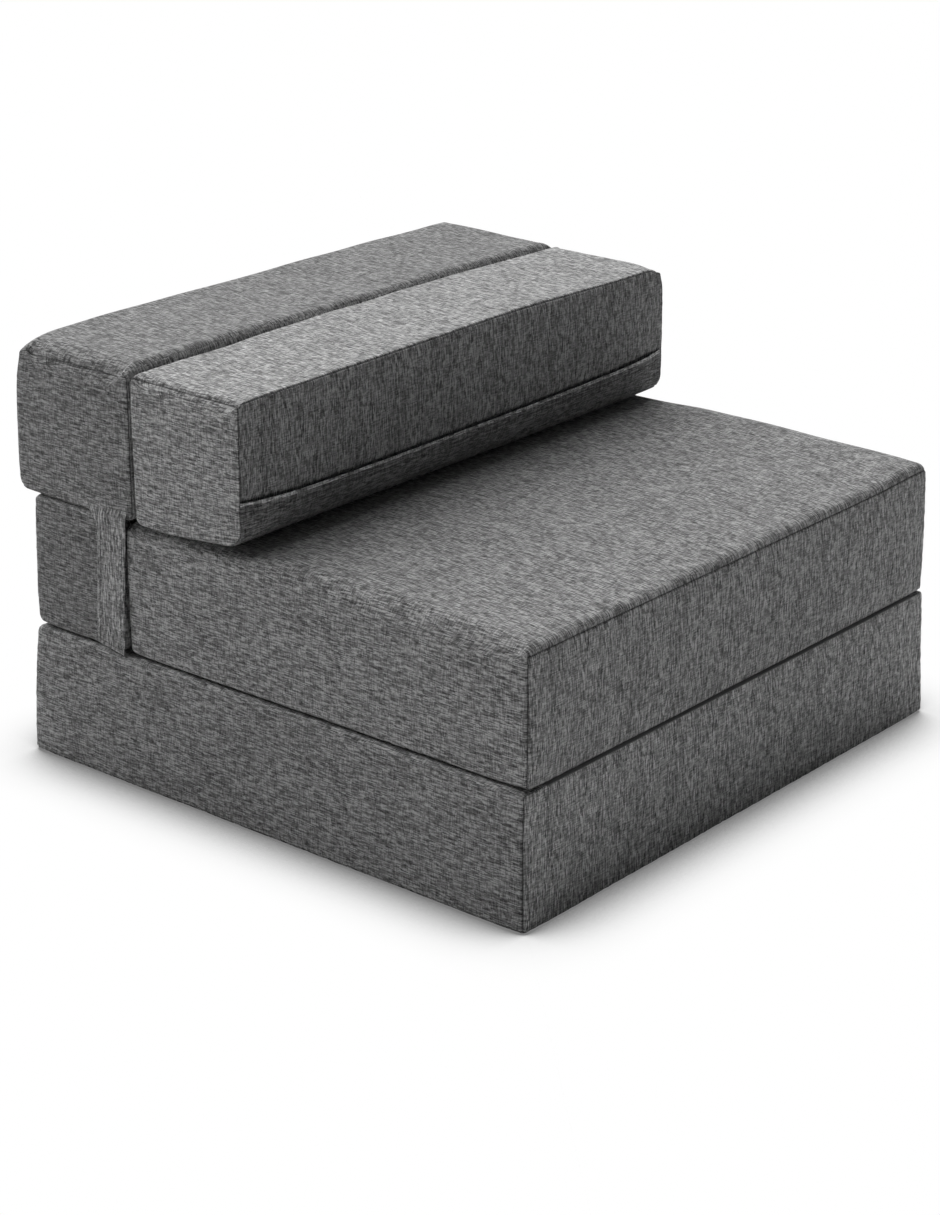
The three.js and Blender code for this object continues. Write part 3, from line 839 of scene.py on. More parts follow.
def make_flap(shape):
    """Folded cloth that covers the zip: its foot is lost in the panel and its lip stands free."""
    rng = np.random.default_rng(FLAP_SEED)
    reach = shape.half - shape.ends[-1][0] * FLAP_END_ROUND_SHARE
    columns = stations(-reach, reach, FLAP_COLUMN)
    ring = flap_ring()
    across, share = np.meshgrid(columns, ring[:, 0], indexing="ij")
    depth = np.broadcast_to(ring[:, 1], across.shape)
    lip = lip_height(across)
    z = FOOT_Z + (lip - FOOT_Z) * share
    stand = FLAP_STAND * smooth_step(*FLAP_STAND_SHARES, share)
    stand -= LIP_TURN_IN * smooth_step(*LIP_TURN_SHARES, share)
    stand -= FOOT_SINK * (1 - smooth_step(*FOOT_SHARES, share))
    stand -= STITCH_PULL * bell(lip - STITCH_DROP - z, STITCH_WIDTH) * (depth < 0.5)
    near_end = np.exp(-(np.abs(across + reach) / CREASE_REACH))
    stand += CREASE_HEIGHT * ripple(z + CREASE_LEAN * across, CREASE_LENGTHS, rng) * near_end
    stand += WAVER_HEIGHT * ripple(across, WAVER_LENGTHS, rng) * share
    end_fall = smooth_step(0, FLAP_END_REACH, reach - np.abs(across))
    fallen = stand * (FLAP_END_SHARE + (1 - FLAP_END_SHARE) * end_fall)
    stand = np.where(share > 0, fallen, stand)
    round_off = FLAP_THICKNESS / 2 * np.sin(np.pi * depth) * (share >= 1)
    points = front_surface(shape, across, z + round_off, stand - depth * FLAP_THICKNESS)
    rows, count = across.shape
    index = np.arange(rows * count).reshape(rows, count)
    following = np.roll(index, -1, axis=1)
    faces = np.stack([index[:-1], index[1:], following[1:], following[:-1]], -1).reshape(-1, 4)
    piece = mesh_object("front_zip_flap", points.reshape(-1, 3), [*faces, index[0, ::-1], index[-1]])
    flat_uv = np.stack([z - depth * FLAP_THICKNESS, across], -1).reshape(-1, 2)
    lay_sheet_weave(piece.data, flat_uv + FLAP_UV_PLACE)
    gap = np.abs(lip - STITCH_DROP - z).reshape(-1)
    write_values(piece.data, "seam_gap", gap * FLAP_GAP_SHARE + FLAP_GAP_LEAST)
    write_values(piece.data, "seam_run", across.reshape(-1))
    # Painted highlight on the front strip of the lip, and painted shade on the rest of the flap.
    lip_highlight_rows = (ring[:, 0] >= LIP_HIGHLIGHT_SHARE) & (ring[:, 1] < LIP_HIGHLIGHT_TURN)
    strip = np.where(lip_highlight_rows, FLAP_LIP_PAINTED_HIGHLIGHT, FLAP_PAINTED_SHADE)
    write_values(piece.data, "painted_light_and_yarn_tone", np.r_[np.tile(strip, rows - 1), FLAP_PAINTED_SHADE, FLAP_PAINTED_SHADE], "FACE")
    line = lip_height(columns) - STITCH_DROP
    line_share = (line - FOOT_Z) / (lip_height(columns) - FOOT_Z)
    out = FLAP_STAND * smooth_step(*FLAP_STAND_SHARES, line_share) - STITCH_SINK
    keep = np.abs(columns) < reach - STITCH_END_ROOM
    return piece, front_surface(shape, columns, line, out)[keep]


# Finishes

class Wiring:
    """The nodes of a finish, a world or a modifier, with short ways to set and join them."""

    def __init__(self, tree):
        self.nodes = tree.nodes
        self.links = tree.links

    def feed(self, node, inputs):
        """Sets each input to a plain value, or links it to the output of another node."""
        for title, value in inputs.items():
            if isinstance(value, bpy.types.NodeSocket):
                self.links.new(value, node.inputs[title])
            else:
                node.inputs[title].default_value = value
        return node

    def add(self, kind, inputs):
        return self.feed(self.nodes.new(kind), inputs)

    def step(self, operation, *values):
        """One step of arithmetic on plain values and outputs."""
        node = self.nodes.new("ShaderNodeMath")
        node.operation = operation
        return self.feed(node, dict(enumerate(values))).outputs[0]

    def plus(self, a, b):
        return self.step("ADD", a, b)

    def times(self, a, b):
        return self.step("MULTIPLY", a, b)

    def around(self, value, size):
        """A value between 0 and 1, centred on zero and scaled."""
        return self.times(self.step("SUBTRACT", value, 0.5), size)

    def attribute(self, name):
        node = self.nodes.new("ShaderNodeAttribute")
        node.attribute_name = name
        return node.outputs["Fac"]

    def combined(self, *parts):
        return self.add("ShaderNodeCombineXYZ", dict(enumerate(parts))).outputs[0]

    def split(self, vector):
        return self.add("ShaderNodeSeparateXYZ", {0: vector}).outputs

    def noise(self, place, scale, detail=2.0, roughness=0.5, offset=0.0):
        """Noise drawn out into threads: scale holds the threads per metre along each axis."""
        spread = self.add("ShaderNodeMapping", {"Scale": scale, "Location": (offset, offset, 0),
                                                "Vector": place})
        noise = self.add("ShaderNodeTexNoise", {"Scale": 1.0, "Detail": detail, "Roughness": roughness,
                                                "Vector": spread.outputs[0]})
        return noise.outputs["Fac"]

    def ramp(self, value, stops):
        """Colours along a value: each stop is a place and a colour, in order."""
        node = self.add("ShaderNodeValToRGB", {0: value})
        elements = node.color_ramp.elements
        for element, (place, colour) in ((elements[0], stops[0]), (elements[1], stops[-1])):
            element.position = place
            element.color = (*colour, 1)
        for place, colour in stops[1:-1]:
            elements.new(place).color = (*colour, 1)
        return node.outputs[0]

    def relief(self, height, strength, distance):
        return self.add("ShaderNodeBump", {"Strength": strength, "Distance": distance,
                                           "Height": height}).outputs[0]


def new_finish(name):
    material = bpy.data.materials.new(name)
    material.use_nodes = True
    return material, Wiring(material.node_tree), material.node_tree.nodes["Principled BSDF"]


def grey(value):
    return (value, value, value)


# Stretches of yarn that show on the cloth: pitch, length, axis and strength
WARP_YARN = (1.2 * MM, 11 * MM, 0, 0.64)
SLUB_YARN = (1.8 * MM, 6.5 * MM, 0, 0.28)
WEFT_YARN = (1.35 * MM, 6.5 * MM, 1, 0.36)
YARN_ROW_SHIFT = 37.0
YARN_LAYER_SHIFT = 0.37

# Finer threads and soft blotches, as noise: threads per metre, detail, offset and strength
FINE_THREADS = ((820, 120, 1), 0.0, 0.0, 0.8)
SLUB_THREADS = ((640, 50, 1), 0.0, 3.1, 0.25)
WEFT_THREADS = ((105, 800, 1), 0.0, 7.7, 0.3)
BLOTCHES = ((26, 14, 1), 3.0, 11.3, 0.2)

# Puckered, darker cloth along a seam
TICKS_PER_METRE = 210
TICK_SPREAD = 45
TICK_STRENGTH = 1.7
TICK_FALL = -170
SEAM_DARK = 0.75
SEAM_DARK_PER_METRE = 900
CLOTH_STOPS = [(0.0, grey(0.07)), (0.5, grey(0.262)), (1.0, grey(0.62))]


def yarn_tones(wiring, cloth, pitch, length, axis, layer):
    """One random tone for each visible stretch of yarn: rows a pitch apart, cut into lengths."""
    parts = wiring.split(cloth)
    row = wiring.step("FLOOR", wiring.step("DIVIDE", parts[axis], pitch))
    shift = wiring.nodes.new("ShaderNodeTexWhiteNoise")
    shift.noise_dimensions = "1D"
    wiring.feed(shift, {"W": wiring.plus(row, layer * YARN_LAYER_SHIFT)})
    run = wiring.plus(wiring.step("DIVIDE", parts[1 - axis], length),
                      wiring.times(shift.outputs["Value"], YARN_ROW_SHIFT))
    painted_light_and_yarn_tone = wiring.nodes.new("ShaderNodeTexWhiteNoise")
    painted_light_and_yarn_tone.noise_dimensions = "3D"
    wiring.feed(painted_light_and_yarn_tone, {"Vector": wiring.combined(row, wiring.step("FLOOR", run), layer)})
    return painted_light_and_yarn_tone.outputs["Value"]


def cover_cloth():
    """Grey melange upholstery cloth: light and dark slub threads, a fine weave and puckered seams."""
    material, wiring, shader = new_finish("cover_cloth")
    uv = wiring.nodes.new("ShaderNodeUVMap")
    uv.uv_map = "weave"
    cloth = uv.outputs[0]
    fine, slub, weft, blotch = (
        wiring.noise(cloth, scale, detail, 0.5, offset)
        for scale, detail, offset, _ in (FINE_THREADS, SLUB_THREADS, WEFT_THREADS, BLOTCHES)
    )
    mix = wiring.around(fine, FINE_THREADS[-1])
    for layer, (pitch, length, axis, strength) in enumerate((WARP_YARN, SLUB_YARN, WEFT_YARN), 1):
        painted_light_and_yarn_tones = yarn_tones(wiring, cloth, pitch, length, axis, layer)
        mix = wiring.plus(mix, wiring.around(painted_light_and_yarn_tones, strength))
    for threads, kind in ((slub, SLUB_THREADS), (weft, WEFT_THREADS), (blotch, BLOTCHES)):
        mix = wiring.plus(mix, wiring.around(threads, kind[-1]))
    gap = wiring.attribute("seam_gap")
    along = wiring.times(wiring.attribute("seam_run"), TICKS_PER_METRE)
    ticks = wiring.add("ShaderNodeTexNoise", {
        "Scale": 1.0, "Detail": 1.5, "Vector": wiring.combined(along, wiring.times(gap, TICK_SPREAD))})
    near = wiring.step("EXPONENT", wiring.times(gap, TICK_FALL))
    tick_mix = wiring.times(wiring.around(ticks.outputs["Fac"], TICK_STRENGTH), near)
    mix = wiring.plus(mix, tick_mix)
    colour = wiring.ramp(wiring.plus(mix, 0.5), CLOTH_STOPS)
    seam_place = wiring.step("POWER", wiring.times(gap, SEAM_DARK_PER_METRE), 2.0)
    seam_dark = wiring.step("EXPONENT", wiring.times(seam_place, -1.0))
    shade = wiring.step("SUBTRACT", 1.0, wiring.times(seam_dark, SEAM_DARK))
    # The colour is darkened along the seams and scaled by each face's tone, which is painted light and
    # shade.
    tint = wiring.nodes.new("ShaderNodeVectorMath")
    tint.operation = "SCALE"
    wiring.feed(tint, {0: colour, "Scale": wiring.times(shade, wiring.attribute("painted_light_and_yarn_tone"))})
    yarn = wiring.plus(wiring.around(fine, 2.0), wiring.around(weft, 1.2))
    height = wiring.plus(yarn, wiring.times(tick_mix, 2.0))
    wiring.feed(shader, {
        "Base Color": tint.outputs[0],
        "Roughness": wiring.plus(0.9, wiring.times(mix, -0.08)),
        "Specular IOR Level": 0.2,
        "Sheen Weight": 0.12,
        "Sheen Roughness": 0.5,
        "Normal": wiring.relief(height, 0.55, 0.9 * MM),
    })
    return material


def spotted(name, dark, light, scale, bump_distance, roughness=0.9, stretch=(1, 1, 1), metallic=0.0,
            contrast=1.0, sheen=0.0):
    """A finish whose colour, gloss and relief follow one noise in the piece's own place."""
    material, wiring, shader = new_finish(name)
    place = wiring.nodes.new("ShaderNodeTexCoord").outputs["Object"]
    noise = wiring.noise(place, [scale * s for s in stretch], 3.0, 0.6)
    spread = 0.25 / contrast
    wiring.feed(shader, {
        "Base Color": wiring.ramp(noise, [(0.5 - spread, dark), (0.5 + spread, light)]),
        "Roughness": wiring.plus(roughness - 0.05, wiring.times(noise, 0.1)),
        "Metallic": metallic,
        "Sheen Weight": sheen,
        "Normal": wiring.relief(noise, 0.6, bump_distance),
    })
    return material


def twilled(name, dark, light, pitch, bump_distance):
    """Woven tape: ribs across the tape, crossed by fine threads."""
    material, wiring, shader = new_finish(name)
    place = wiring.nodes.new("ShaderNodeTexCoord").outputs["Object"]
    parts = wiring.split(place)
    ribs = wiring.step("SINE", wiring.times(parts[0], 2 * math.pi / pitch))
    depth = wiring.plus(parts[1], parts[2])
    threads = wiring.step("SINE", wiring.times(depth, 2 * math.pi / (pitch * 0.8)))
    noise = wiring.noise(place, (900, 300, 900), 2.0)
    height = wiring.plus(wiring.times(wiring.times(ribs, threads), 0.3), noise)
    wiring.feed(shader, {
        "Base Color": wiring.ramp(height, [(0.0, dark), (1.0, light)]),
        "Roughness": 0.85,
        "Normal": wiring.relief(height, 0.6, bump_distance),
    })
    return material


CLOTH = cover_cloth()
FOAM = spotted("open_cell_foam", (0.66, 0.6, 0.42), (0.86, 0.8, 0.62), 700, 0.8 * MM, contrast=1.4)
ZIP_TAPE = twilled("zip_tape_weave", grey(0.02), grey(0.07), 1.2 * MM, 0.3 * MM)
COIL = spotted("zip_coil", grey(0.02), grey(0.06), 900, 0.1 * MM, roughness=0.45)
METAL = spotted("satin_nickel", grey(0.42), (0.56, 0.56, 0.57), 500, 0.05 * MM, roughness=0.32,
                stretch=(1, 6, 6), metallic=1.0)
WEBBING = twilled("flat_webbing", grey(0.09), grey(0.22), 1.6 * MM, 0.4 * MM)
PILE = spotted("touch_fastener_pile", grey(0.012), grey(0.05), 1800, 0.6 * MM, contrast=1.5, sheen=0.2)
THREAD = spotted("sewing_thread", grey(0.035), grey(0.09), 1500, 0.1 * MM, roughness=0.7)


def dress(piece, material):
    piece.data.materials.clear()
    piece.data.materials.append(material)


# Beads along a run: stitches, zip teeth and pile

BEAD_SIZES = ("Pitch", "Length", "Width", "Height")
STITCH_BEAD = (3.6 * MM, 2.9 * MM, 0.55 * MM, 0.55 * MM)
TOOTH_BEAD = (1.5 * MM, 1.15 * MM, 1.4 * MM, 3.4 * MM)
PILE_BEAD = (1.5 * MM, 0.5 * MM, 1.1 * MM, 0.9 * MM)


def bead_tree(name, aligned):
    """A tree that sets an oval bead at each pitch of a run, turned along it if aligned."""
    tree = bpy.data.node_groups.new(name, "GeometryNodeTree")
    face = tree.interface
    face.new_socket("Geometry", in_out="INPUT", socket_type="NodeSocketGeometry")
    for title in BEAD_SIZES:
        face.new_socket(title, in_out="INPUT", socket_type="NodeSocketFloat")
    face.new_socket("Finish", in_out="INPUT", socket_type="NodeSocketMaterial")
    face.new_socket("Geometry", in_out="OUTPUT", socket_type="NodeSocketGeometry")
    wiring = Wiring(tree)
    given = wiring.nodes.new("NodeGroupInput").outputs
    curve = wiring.add("GeometryNodeMeshToCurve", {0: given["Geometry"]})
    spaced = wiring.nodes.new("GeometryNodeResampleCurve")
    spaced.mode = "LENGTH"
    wiring.feed(spaced, {"Curve": curve.outputs[0], "Length": given["Pitch"]})
    bead = wiring.add("GeometryNodeMeshUVSphere", {"Segments": 6, "Rings": 4, "Radius": 0.5})
    size = wiring.combined(given["Length"], given["Width"], given["Height"])
    shaped = wiring.add("GeometryNodeTransform", {"Geometry": bead.outputs["Mesh"], "Scale": size})
    placed = wiring.add("GeometryNodeInstanceOnPoints", {"Points": spaced.outputs[0],
                                                         "Instance": shaped.outputs[0]})
    if aligned:
        tangent = wiring.nodes.new("GeometryNodeInputTangent")
        turned = wiring.nodes.new("FunctionNodeAlignRotationToVector")
        turned.axis = "X"
        wiring.feed(turned, {"Vector": tangent.outputs[0]})
        wiring.feed(placed, {"Rotation": turned.outputs[0]})
    real = wiring.add("GeometryNodeRealizeInstances", {0: placed.outputs[0]})
    finish = wiring.add("GeometryNodeSetMaterial", {"Geometry": real.outputs[0],
                                                    "Material": given["Finish"]})
    wiring.add("NodeGroupOutput", {0: finish.outputs[0]})
    return tree


STITCHES = bead_tree("stitches_along_a_seam", True)
TEETH = bead_tree("teeth_along_a_zip", False)


def bead_run(name, tree, runs, sizes, material):
    """A mesh of beads set along the given runs of points."""
    verts, edges = [], []
    for run in runs:
        start = len(verts)
        verts += [tuple(p) for p in run]
        edges += [(start + i, start + i + 1) for i in range(len(run) - 1)]
    mesh = bpy.data.meshes.new(f"{name}_run")
    mesh.from_pydata(verts, edges, [])
    guide = add_object(f"{name}_run", mesh)
    modifier = guide.modifiers.new("beads", "NODES")
    modifier.node_group = tree
    keys = {item.name: item.identifier for item in tree.interface.items_tree if item.in_out == "INPUT"}
    for title, size in zip(BEAD_SIZES, sizes):
        modifier[keys[title]] = size
    modifier[keys["Finish"]] = material
    depsgraph = bpy.context.evaluated_depsgraph_get()
    made = bpy.data.meshes.new_from_object(guide.evaluated_get(depsgraph), depsgraph=depsgraph)
    made.name = name
    made.polygons.foreach_set("use_smooth", [True] * len(made.polygons))
    bpy.data.objects.remove(guide)
    if not made.materials:
        made.materials.append(material)
    return add_object(name, made)


# Cushions, foam cores, the flap and their seams


def flatten_when_flipped(piece):
    """Gives the piece a mesh of its own."""
    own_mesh(piece)


for shape in BLOCKS.values():
    body = BODY_OF[shape.name]
    cushion, seams = make_cushion(shape)
    dress(cushion, CLOTH)
    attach(cushion, body)
    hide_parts(f"{shape.name}_cover")
    core = make_foam(shape)
    dress(core, FOAM)
    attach(core, body)
    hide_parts(f"{shape.name}_foam")
    stitches = bead_run(f"{shape.name}_seam_stitches", STITCHES, seams, STITCH_BEAD, THREAD)
    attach(stitches, body)
    if shape is front_back:
        for piece in (cushion, core, stitches):
            flatten_when_flipped(piece)

flap, flap_stitch_line = make_flap(front_back)
dress(flap, CLOTH)
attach(flap, "front_back")
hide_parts("front_back_zip_flap")
flap_stitches = bead_run("front_zip_flap_stitches", STITCHES, [flap_stitch_line], STITCH_BEAD, THREAD)
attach(flap_stitches, "front_back")
flatten_when_flipped(flap)
flatten_when_flipped(flap_stitches)


# Thin pieces: tabs, tapes and webs

def sheet_mesh(name, middle, thickness):
    """Closed thin sheet around a grid of points. Thickness is one size, or one for each point."""
    across, along = np.gradient(middle, axis=1), np.gradient(middle, axis=0)
    normal = np.cross(across, along)
    normal /= np.linalg.norm(normal, axis=2, keepdims=True)
    rows, count = middle.shape[:2]
    half = np.broadcast_to(np.asarray(thickness) / 2, (rows, count))[..., None]
    outer = (middle + normal * half).reshape(-1, 3)
    inner = (middle - normal * half).reshape(-1, 3)
    index = np.arange(rows * count).reshape(rows, count)
    faces = np.stack([index[:-1, :-1], index[:-1, 1:], index[1:, 1:], index[1:, :-1]], -1)
    faces = faces.reshape(-1, 4)
    edge = [*index[0], *index[1:, -1], *index[-1, -2::-1], *index[-2:0:-1, 0]]
    ahead = edge[1:] + edge[:1]
    rim = [(b, a, a + rows * count, b + rows * count) for a, b in zip(edge, ahead)]
    piece = mesh_object(name, np.concatenate([outer, inner]),
                        [*faces, *(faces[:, ::-1] + rows * count), *rim])
    area = np.linalg.norm(np.cross(middle[1:, :-1] - middle[:-1, :-1],
                                   middle[:-1, 1:] - middle[:-1, :-1]), axis=2).sum()
    return piece, float(area)


TAB_ROWS = 110
TAB_COLUMNS = 36
TAB_LEAN = 0.0586
TAB_TOP = rear_back.floor + 34 * MM
TAB_MERGE = (rear_back.floor - 5 * MM, rear_back.floor + 19 * MM)
TAB_FREE = (rear_back.floor - 10 * MM, rear_back.floor)
TAB_SINK = 1.6 * MM
TAB_FILLET = 27 * MM
TAB_FILLET_TOP = rear_back.floor + 5.4 * MM
TAB_FRONT_ROOM = 1.8 * MM
TAB_REAR_ROOM = 0.8 * MM
TAB_END_RISE = 5.5 * MM
TAB_END_SLANT = 7.5 * MM
TAB_CLOTH = 1.5 * MM
TAB_HEM = 5.5 * MM
TAB_HEM_PLY = 0.7 * MM
TAB_HEM_EDGE = (-1 * MM, 0.6 * MM)
TAB_RIM = (-0.5 * MM, 1.2 * MM)
TAB_RIM_SHARE = 0.45
TAB_RIPPLE = 0.35 * MM
TAB_RIPPLE_TURNS = (30, 55)
TAB_GAP_SHARE = 1.5
TAB_GAP_LEAST = 0.5 * MM
TAB_GAP_FAR = 50 * MM
TAB_UV_PLACE = 2.7
TAB_UV_STEP = 0.4
HEM_STEPS = 60
HEM_STITCH_TOP = rear_back.floor - 16 * MM
HEM_STITCH_FOOT = 13 * MM
HEM_FRONT_DROP = 2 * MM
HEM_REAR_RISE = 4 * MM


def tab_ripple(y, z):
    """How far the cloth of a tab stands out in a soft wave, as a share."""
    return np.sin(y * TAB_RIPPLE_TURNS[0] + z * TAB_RIPPLE_TURNS[1])


def make_tab(word, side):
    """Side tab: the side cloth of the rear back block runs on down as a hemmed strip."""
    low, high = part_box(f"{word}_side_tab")
    plane = (abs(low.x) + abs(high.x)) / 2
    share, across = np.meshgrid(np.linspace(0, 1, TAB_ROWS), np.linspace(0, 1, TAB_COLUMNS),
                                indexing="ij")
    if side > 0:
        across = across[:, ::-1]

    def front_edge(z):
        return low.y - TAB_FRONT_ROOM - TAB_LEAN * (z - low.z)

    def rear_edge(z):
        return high.y + TAB_REAR_ROOM - TAB_LEAN * (z - low.z)

    end = low.z + TAB_END_RISE + TAB_END_SLANT * (1 - across)
    z = TAB_TOP - share * (TAB_TOP - end)
    rise = np.clip(z - TAB_FILLET_TOP + TAB_FILLET, 0, TAB_FILLET)
    fillet = TAB_FILLET - np.sqrt(TAB_FILLET ** 2 - rise ** 2)
    ahead, behind = front_edge(z), rear_edge(z) + fillet
    y = behind + (ahead - behind) * across
    merge = smooth_step(*TAB_MERGE, z)
    merged = (rear_back.half - TAB_SINK - plane) * merge
    x = side * (plane + merged + TAB_RIPPLE * tab_ripple(y, z) * (1 - merge))
    to_edge = np.minimum(np.minimum(y - ahead, behind - y), z - end)
    hem = TAB_HEM_PLY * (1 - smooth_step(*TAB_HEM_EDGE, to_edge - TAB_HEM))
    rim = smooth_step(*TAB_RIM, to_edge)
    free = 1 - smooth_step(*TAB_FREE, z)
    thickness = (TAB_CLOTH + hem * free) * (TAB_RIM_SHARE + (1 - TAB_RIM_SHARE) * rim)
    piece, area = sheet_mesh(f"{word}_tab", np.stack([x, y, z], -1), thickness)
    uv = np.stack([y, z], -1) + TAB_UV_PLACE + side * TAB_UV_STEP
    lay_sheet_weave(piece.data, np.concatenate([uv.reshape(-1, 2)] * 2))
    gap = np.abs(to_edge - TAB_HEM) * TAB_GAP_SHARE + TAB_GAP_LEAST + (1 - free) * TAB_GAP_FAR
    write_values(piece.data, "seam_gap", np.tile(gap.reshape(-1), 2))
    write_values(piece.data, "seam_run", np.tile((z + y).reshape(-1), 2))
    write_values(piece.data, "painted_light_and_yarn_tone", np.full(len(piece.data.polygons), 1.0), "FACE")
    dress(piece, CLOTH)
    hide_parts(f"{word}_side_tab")
    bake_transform(piece)
    turns = np.linspace(0, 1, HEM_STEPS)
    fall = HEM_STITCH_TOP + (low.z + HEM_STITCH_FOOT - HEM_STITCH_TOP) * turns
    down_z = fall - HEM_FRONT_DROP * turns
    up_z = fall[::-1] + HEM_REAR_RISE
    down = np.stack([front_edge(down_z) + TAB_HEM, down_z], -1)
    up = np.stack([rear_edge(up_z) - TAB_HEM, up_z], -1)
    bottom = down[-1] + (up[0] - down[-1]) * turns[1:-1, None]
    hem_y, hem_z = np.concatenate([down, bottom, up]).T
    hem_x = side * (plane + TAB_CLOTH / 2 + TAB_RIPPLE + TAB_RIPPLE * tab_ripple(hem_y, hem_z))
    hem_line = np.stack([hem_x, hem_y, hem_z], -1)
    hems = bead_run(f"{word}_tab_stitches", STITCHES, [hem_line], STITCH_BEAD, THREAD)
    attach(hems, f"{word}_tab")


PATCH_COLUMNS = 13
PATCH_ROWS = 17
PATCH_BACKING = 0.42 * MM
PATCH_PLACE = 0.22 * MM
PILE_PLACE = 0.55 * MM
PILE_INSET = 1.5 * MM
PILE_ROW = 1.7 * MM


def make_patch(node, body, facing):
    """Touch fastener: a thin backing, and rows of small loops or hooks on the facing side."""
    low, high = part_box(node)
    y, z = np.meshgrid(np.linspace(low.y, high.y, PATCH_COLUMNS), np.linspace(low.z, high.z, PATCH_ROWS),
                       indexing="ij")
    back = low.x if facing > 0 else high.x
    x = np.full_like(y, back + facing * PATCH_PLACE)
    piece, _ = sheet_mesh(f"{node}_backing", np.stack([x, y, z], -1), PATCH_BACKING)
    dress(piece, PILE)
    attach(piece, body)
    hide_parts(node)
    pile_x = back + facing * PILE_PLACE
    rows = [
        [(pile_x, low.y + PILE_INSET, row), (pile_x, high.y - PILE_INSET, row)]
        for row in np.arange(low.z + PILE_INSET, high.z - PILE_INSET / 2, PILE_ROW)
    ]
    pile = bead_run(f"{node}_pile", TEETH, rows, PILE_BEAD, PILE)
    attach(pile, body)


ZIP_TAPE_COLUMNS = 120
ZIP_TAPE_ROWS = 9
COIL_STEPS = 80
ZIP_TAPE_HALF = 4.6 * MM
ZIP_TAPE_PLY = 0.5 * MM
ZIP_TAPE_SUNK = 1.75 * MM
ZIP_TAPE_OVERRUN = 1 * MM
COIL_SUNK = 1.05 * MM


def make_zip(shape):
    """Zip tape at the floor of its slot, with a row of coil teeth along the middle."""
    at_front = shape.zip_face == "front"
    sign = -1 if at_front else 1
    face = shape.front if at_front else shape.rear
    foot = shape.corners[FRONT_FOOT if at_front else REAR_FOOT]
    brow = shape.corners[FRONT_TOP if at_front else REAR_TOP]
    share = (shape.zip_z - shape.floor - foot) / (shape.top - shape.floor - foot - brow)
    crown = shape.crown[shape.zip_face] * arch(share)

    def surface(x, sunk):
        return face + sign * (crown * plateau(x, shape) - sunk)

    reach = shape.zip_half + ZIP_TAPE_OVERRUN
    x, z = np.meshgrid(np.linspace(-reach, reach, ZIP_TAPE_COLUMNS),
                       np.linspace(-ZIP_TAPE_HALF, ZIP_TAPE_HALF, ZIP_TAPE_ROWS), indexing="ij")
    middle = np.stack([x, surface(x, ZIP_TAPE_SUNK), shape.zip_z + z], -1)
    tape, _ = sheet_mesh(f"{shape.name}_zip_cloth", middle, ZIP_TAPE_PLY)
    dress(tape, ZIP_TAPE)
    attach(tape, BODY_OF[shape.name])
    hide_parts(f"{shape.name}_zip_tape")
    line = np.linspace(-shape.zip_half, shape.zip_half, COIL_STEPS)
    run = [(place, surface(place, COIL_SUNK), shape.zip_z) for place in line]
    coil = bead_run(f"{shape.name}_zip_coil", TEETH, [run], TOOTH_BEAD, COIL)
    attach(coil, BODY_OF[shape.name])
    for part in ("slider", "pull"):
        dress(frame["nodes"][f"{shape.name}_zip_{part}"], METAL)


WEB_COLUMNS = 90
WEB_BEND_STEPS = 9
FOLDED_PLY_STEPS = 12
CREST_PLY_STEPS = 10
WEB_THICKNESS = 0.5 * MM
WEB_PLY = 10 * MM
SEAT_WEB_RADIUS = 0.45 * MM
SEAT_WEB_TIP = 0.5 * MM
BACK_WEB_RADIUS = 0.4 * MM
BACK_WEB_TIP = -0.3 * MM
BOLSTER_WEB_RADIUS = 0.9 * MM
BOLSTER_WEB_DROP = 14 * MM
JOINING_WEB_THICKNESS = 0.8 * MM
JOINING_WEB_SAG = 1.2 * MM


def web(name, path, node, thickness=WEB_THICKNESS):
    """Flat tape that follows a path in the plane across the hinge."""
    low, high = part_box(node)
    path = np.array(path)
    x = np.linspace(low.x, high.x, WEB_COLUMNS)
    middle = np.stack([np.broadcast_to(x, (len(path), len(x))),
                       np.broadcast_to(path[:, :1], (len(path), len(x))),
                       np.broadcast_to(path[:, 1:], (len(path), len(x)))], -1)
    piece, _ = sheet_mesh(name, middle, thickness)
    dress(piece, WEBBING)
    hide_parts(node)
    return piece


def fold_path(line, radius, tip, tail):
    """Path of a tape folded in two, from its lower ply round the tip to its upper ply."""
    out = 1 if tip > tail else -1
    turns = np.linspace(-math.pi / 2, math.pi / 2, WEB_BEND_STEPS)
    bend = [(tip + out * (radius * math.cos(t) - radius), line.z + radius * math.sin(t)) for t in turns]
    plies = np.linspace(tail, tip - out * radius, FOLDED_PLY_STEPS)
    lower = [(y, line.z - radius) for y in plies[:-1]]
    upper = [(y, line.z + radius) for y in plies[-2::-1]]
    return lower + bend + upper


def crest_path(line, radius, crest):
    """Path of a tape that runs up one ply, over the crest between two blocks, and down the other."""
    turns = np.linspace(0, math.pi, WEB_BEND_STEPS)
    bridge = [(line.y + radius * math.cos(t), crest + radius * math.sin(t)) for t in turns]
    ply = np.linspace(crest - WEB_PLY, crest, CREST_PLY_STEPS)[:-1]
    rear = [(line.y + radius, z) for z in ply]
    front = [(line.y - radius, z) for z in ply[::-1]]
    return rear + bridge + front


for side, word in ((-1, "left"), (1, "right")):
    make_tab(word, side)
    make_patch(f"{word}_tab_loop_patch", "seat_layer", side)
    make_patch(f"{word}_tab_hook_patch", f"{word}_tab", -side)

for shape in BLOCKS.values():
    make_zip(shape)

line = HINGES["seat_unfold"]
path = fold_path(line, SEAT_WEB_RADIUS, line.y + SEAT_WEB_TIP, line.y + WEB_PLY)
piece = web("seat_web", path, "seat_hinge_tape")
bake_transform(piece)

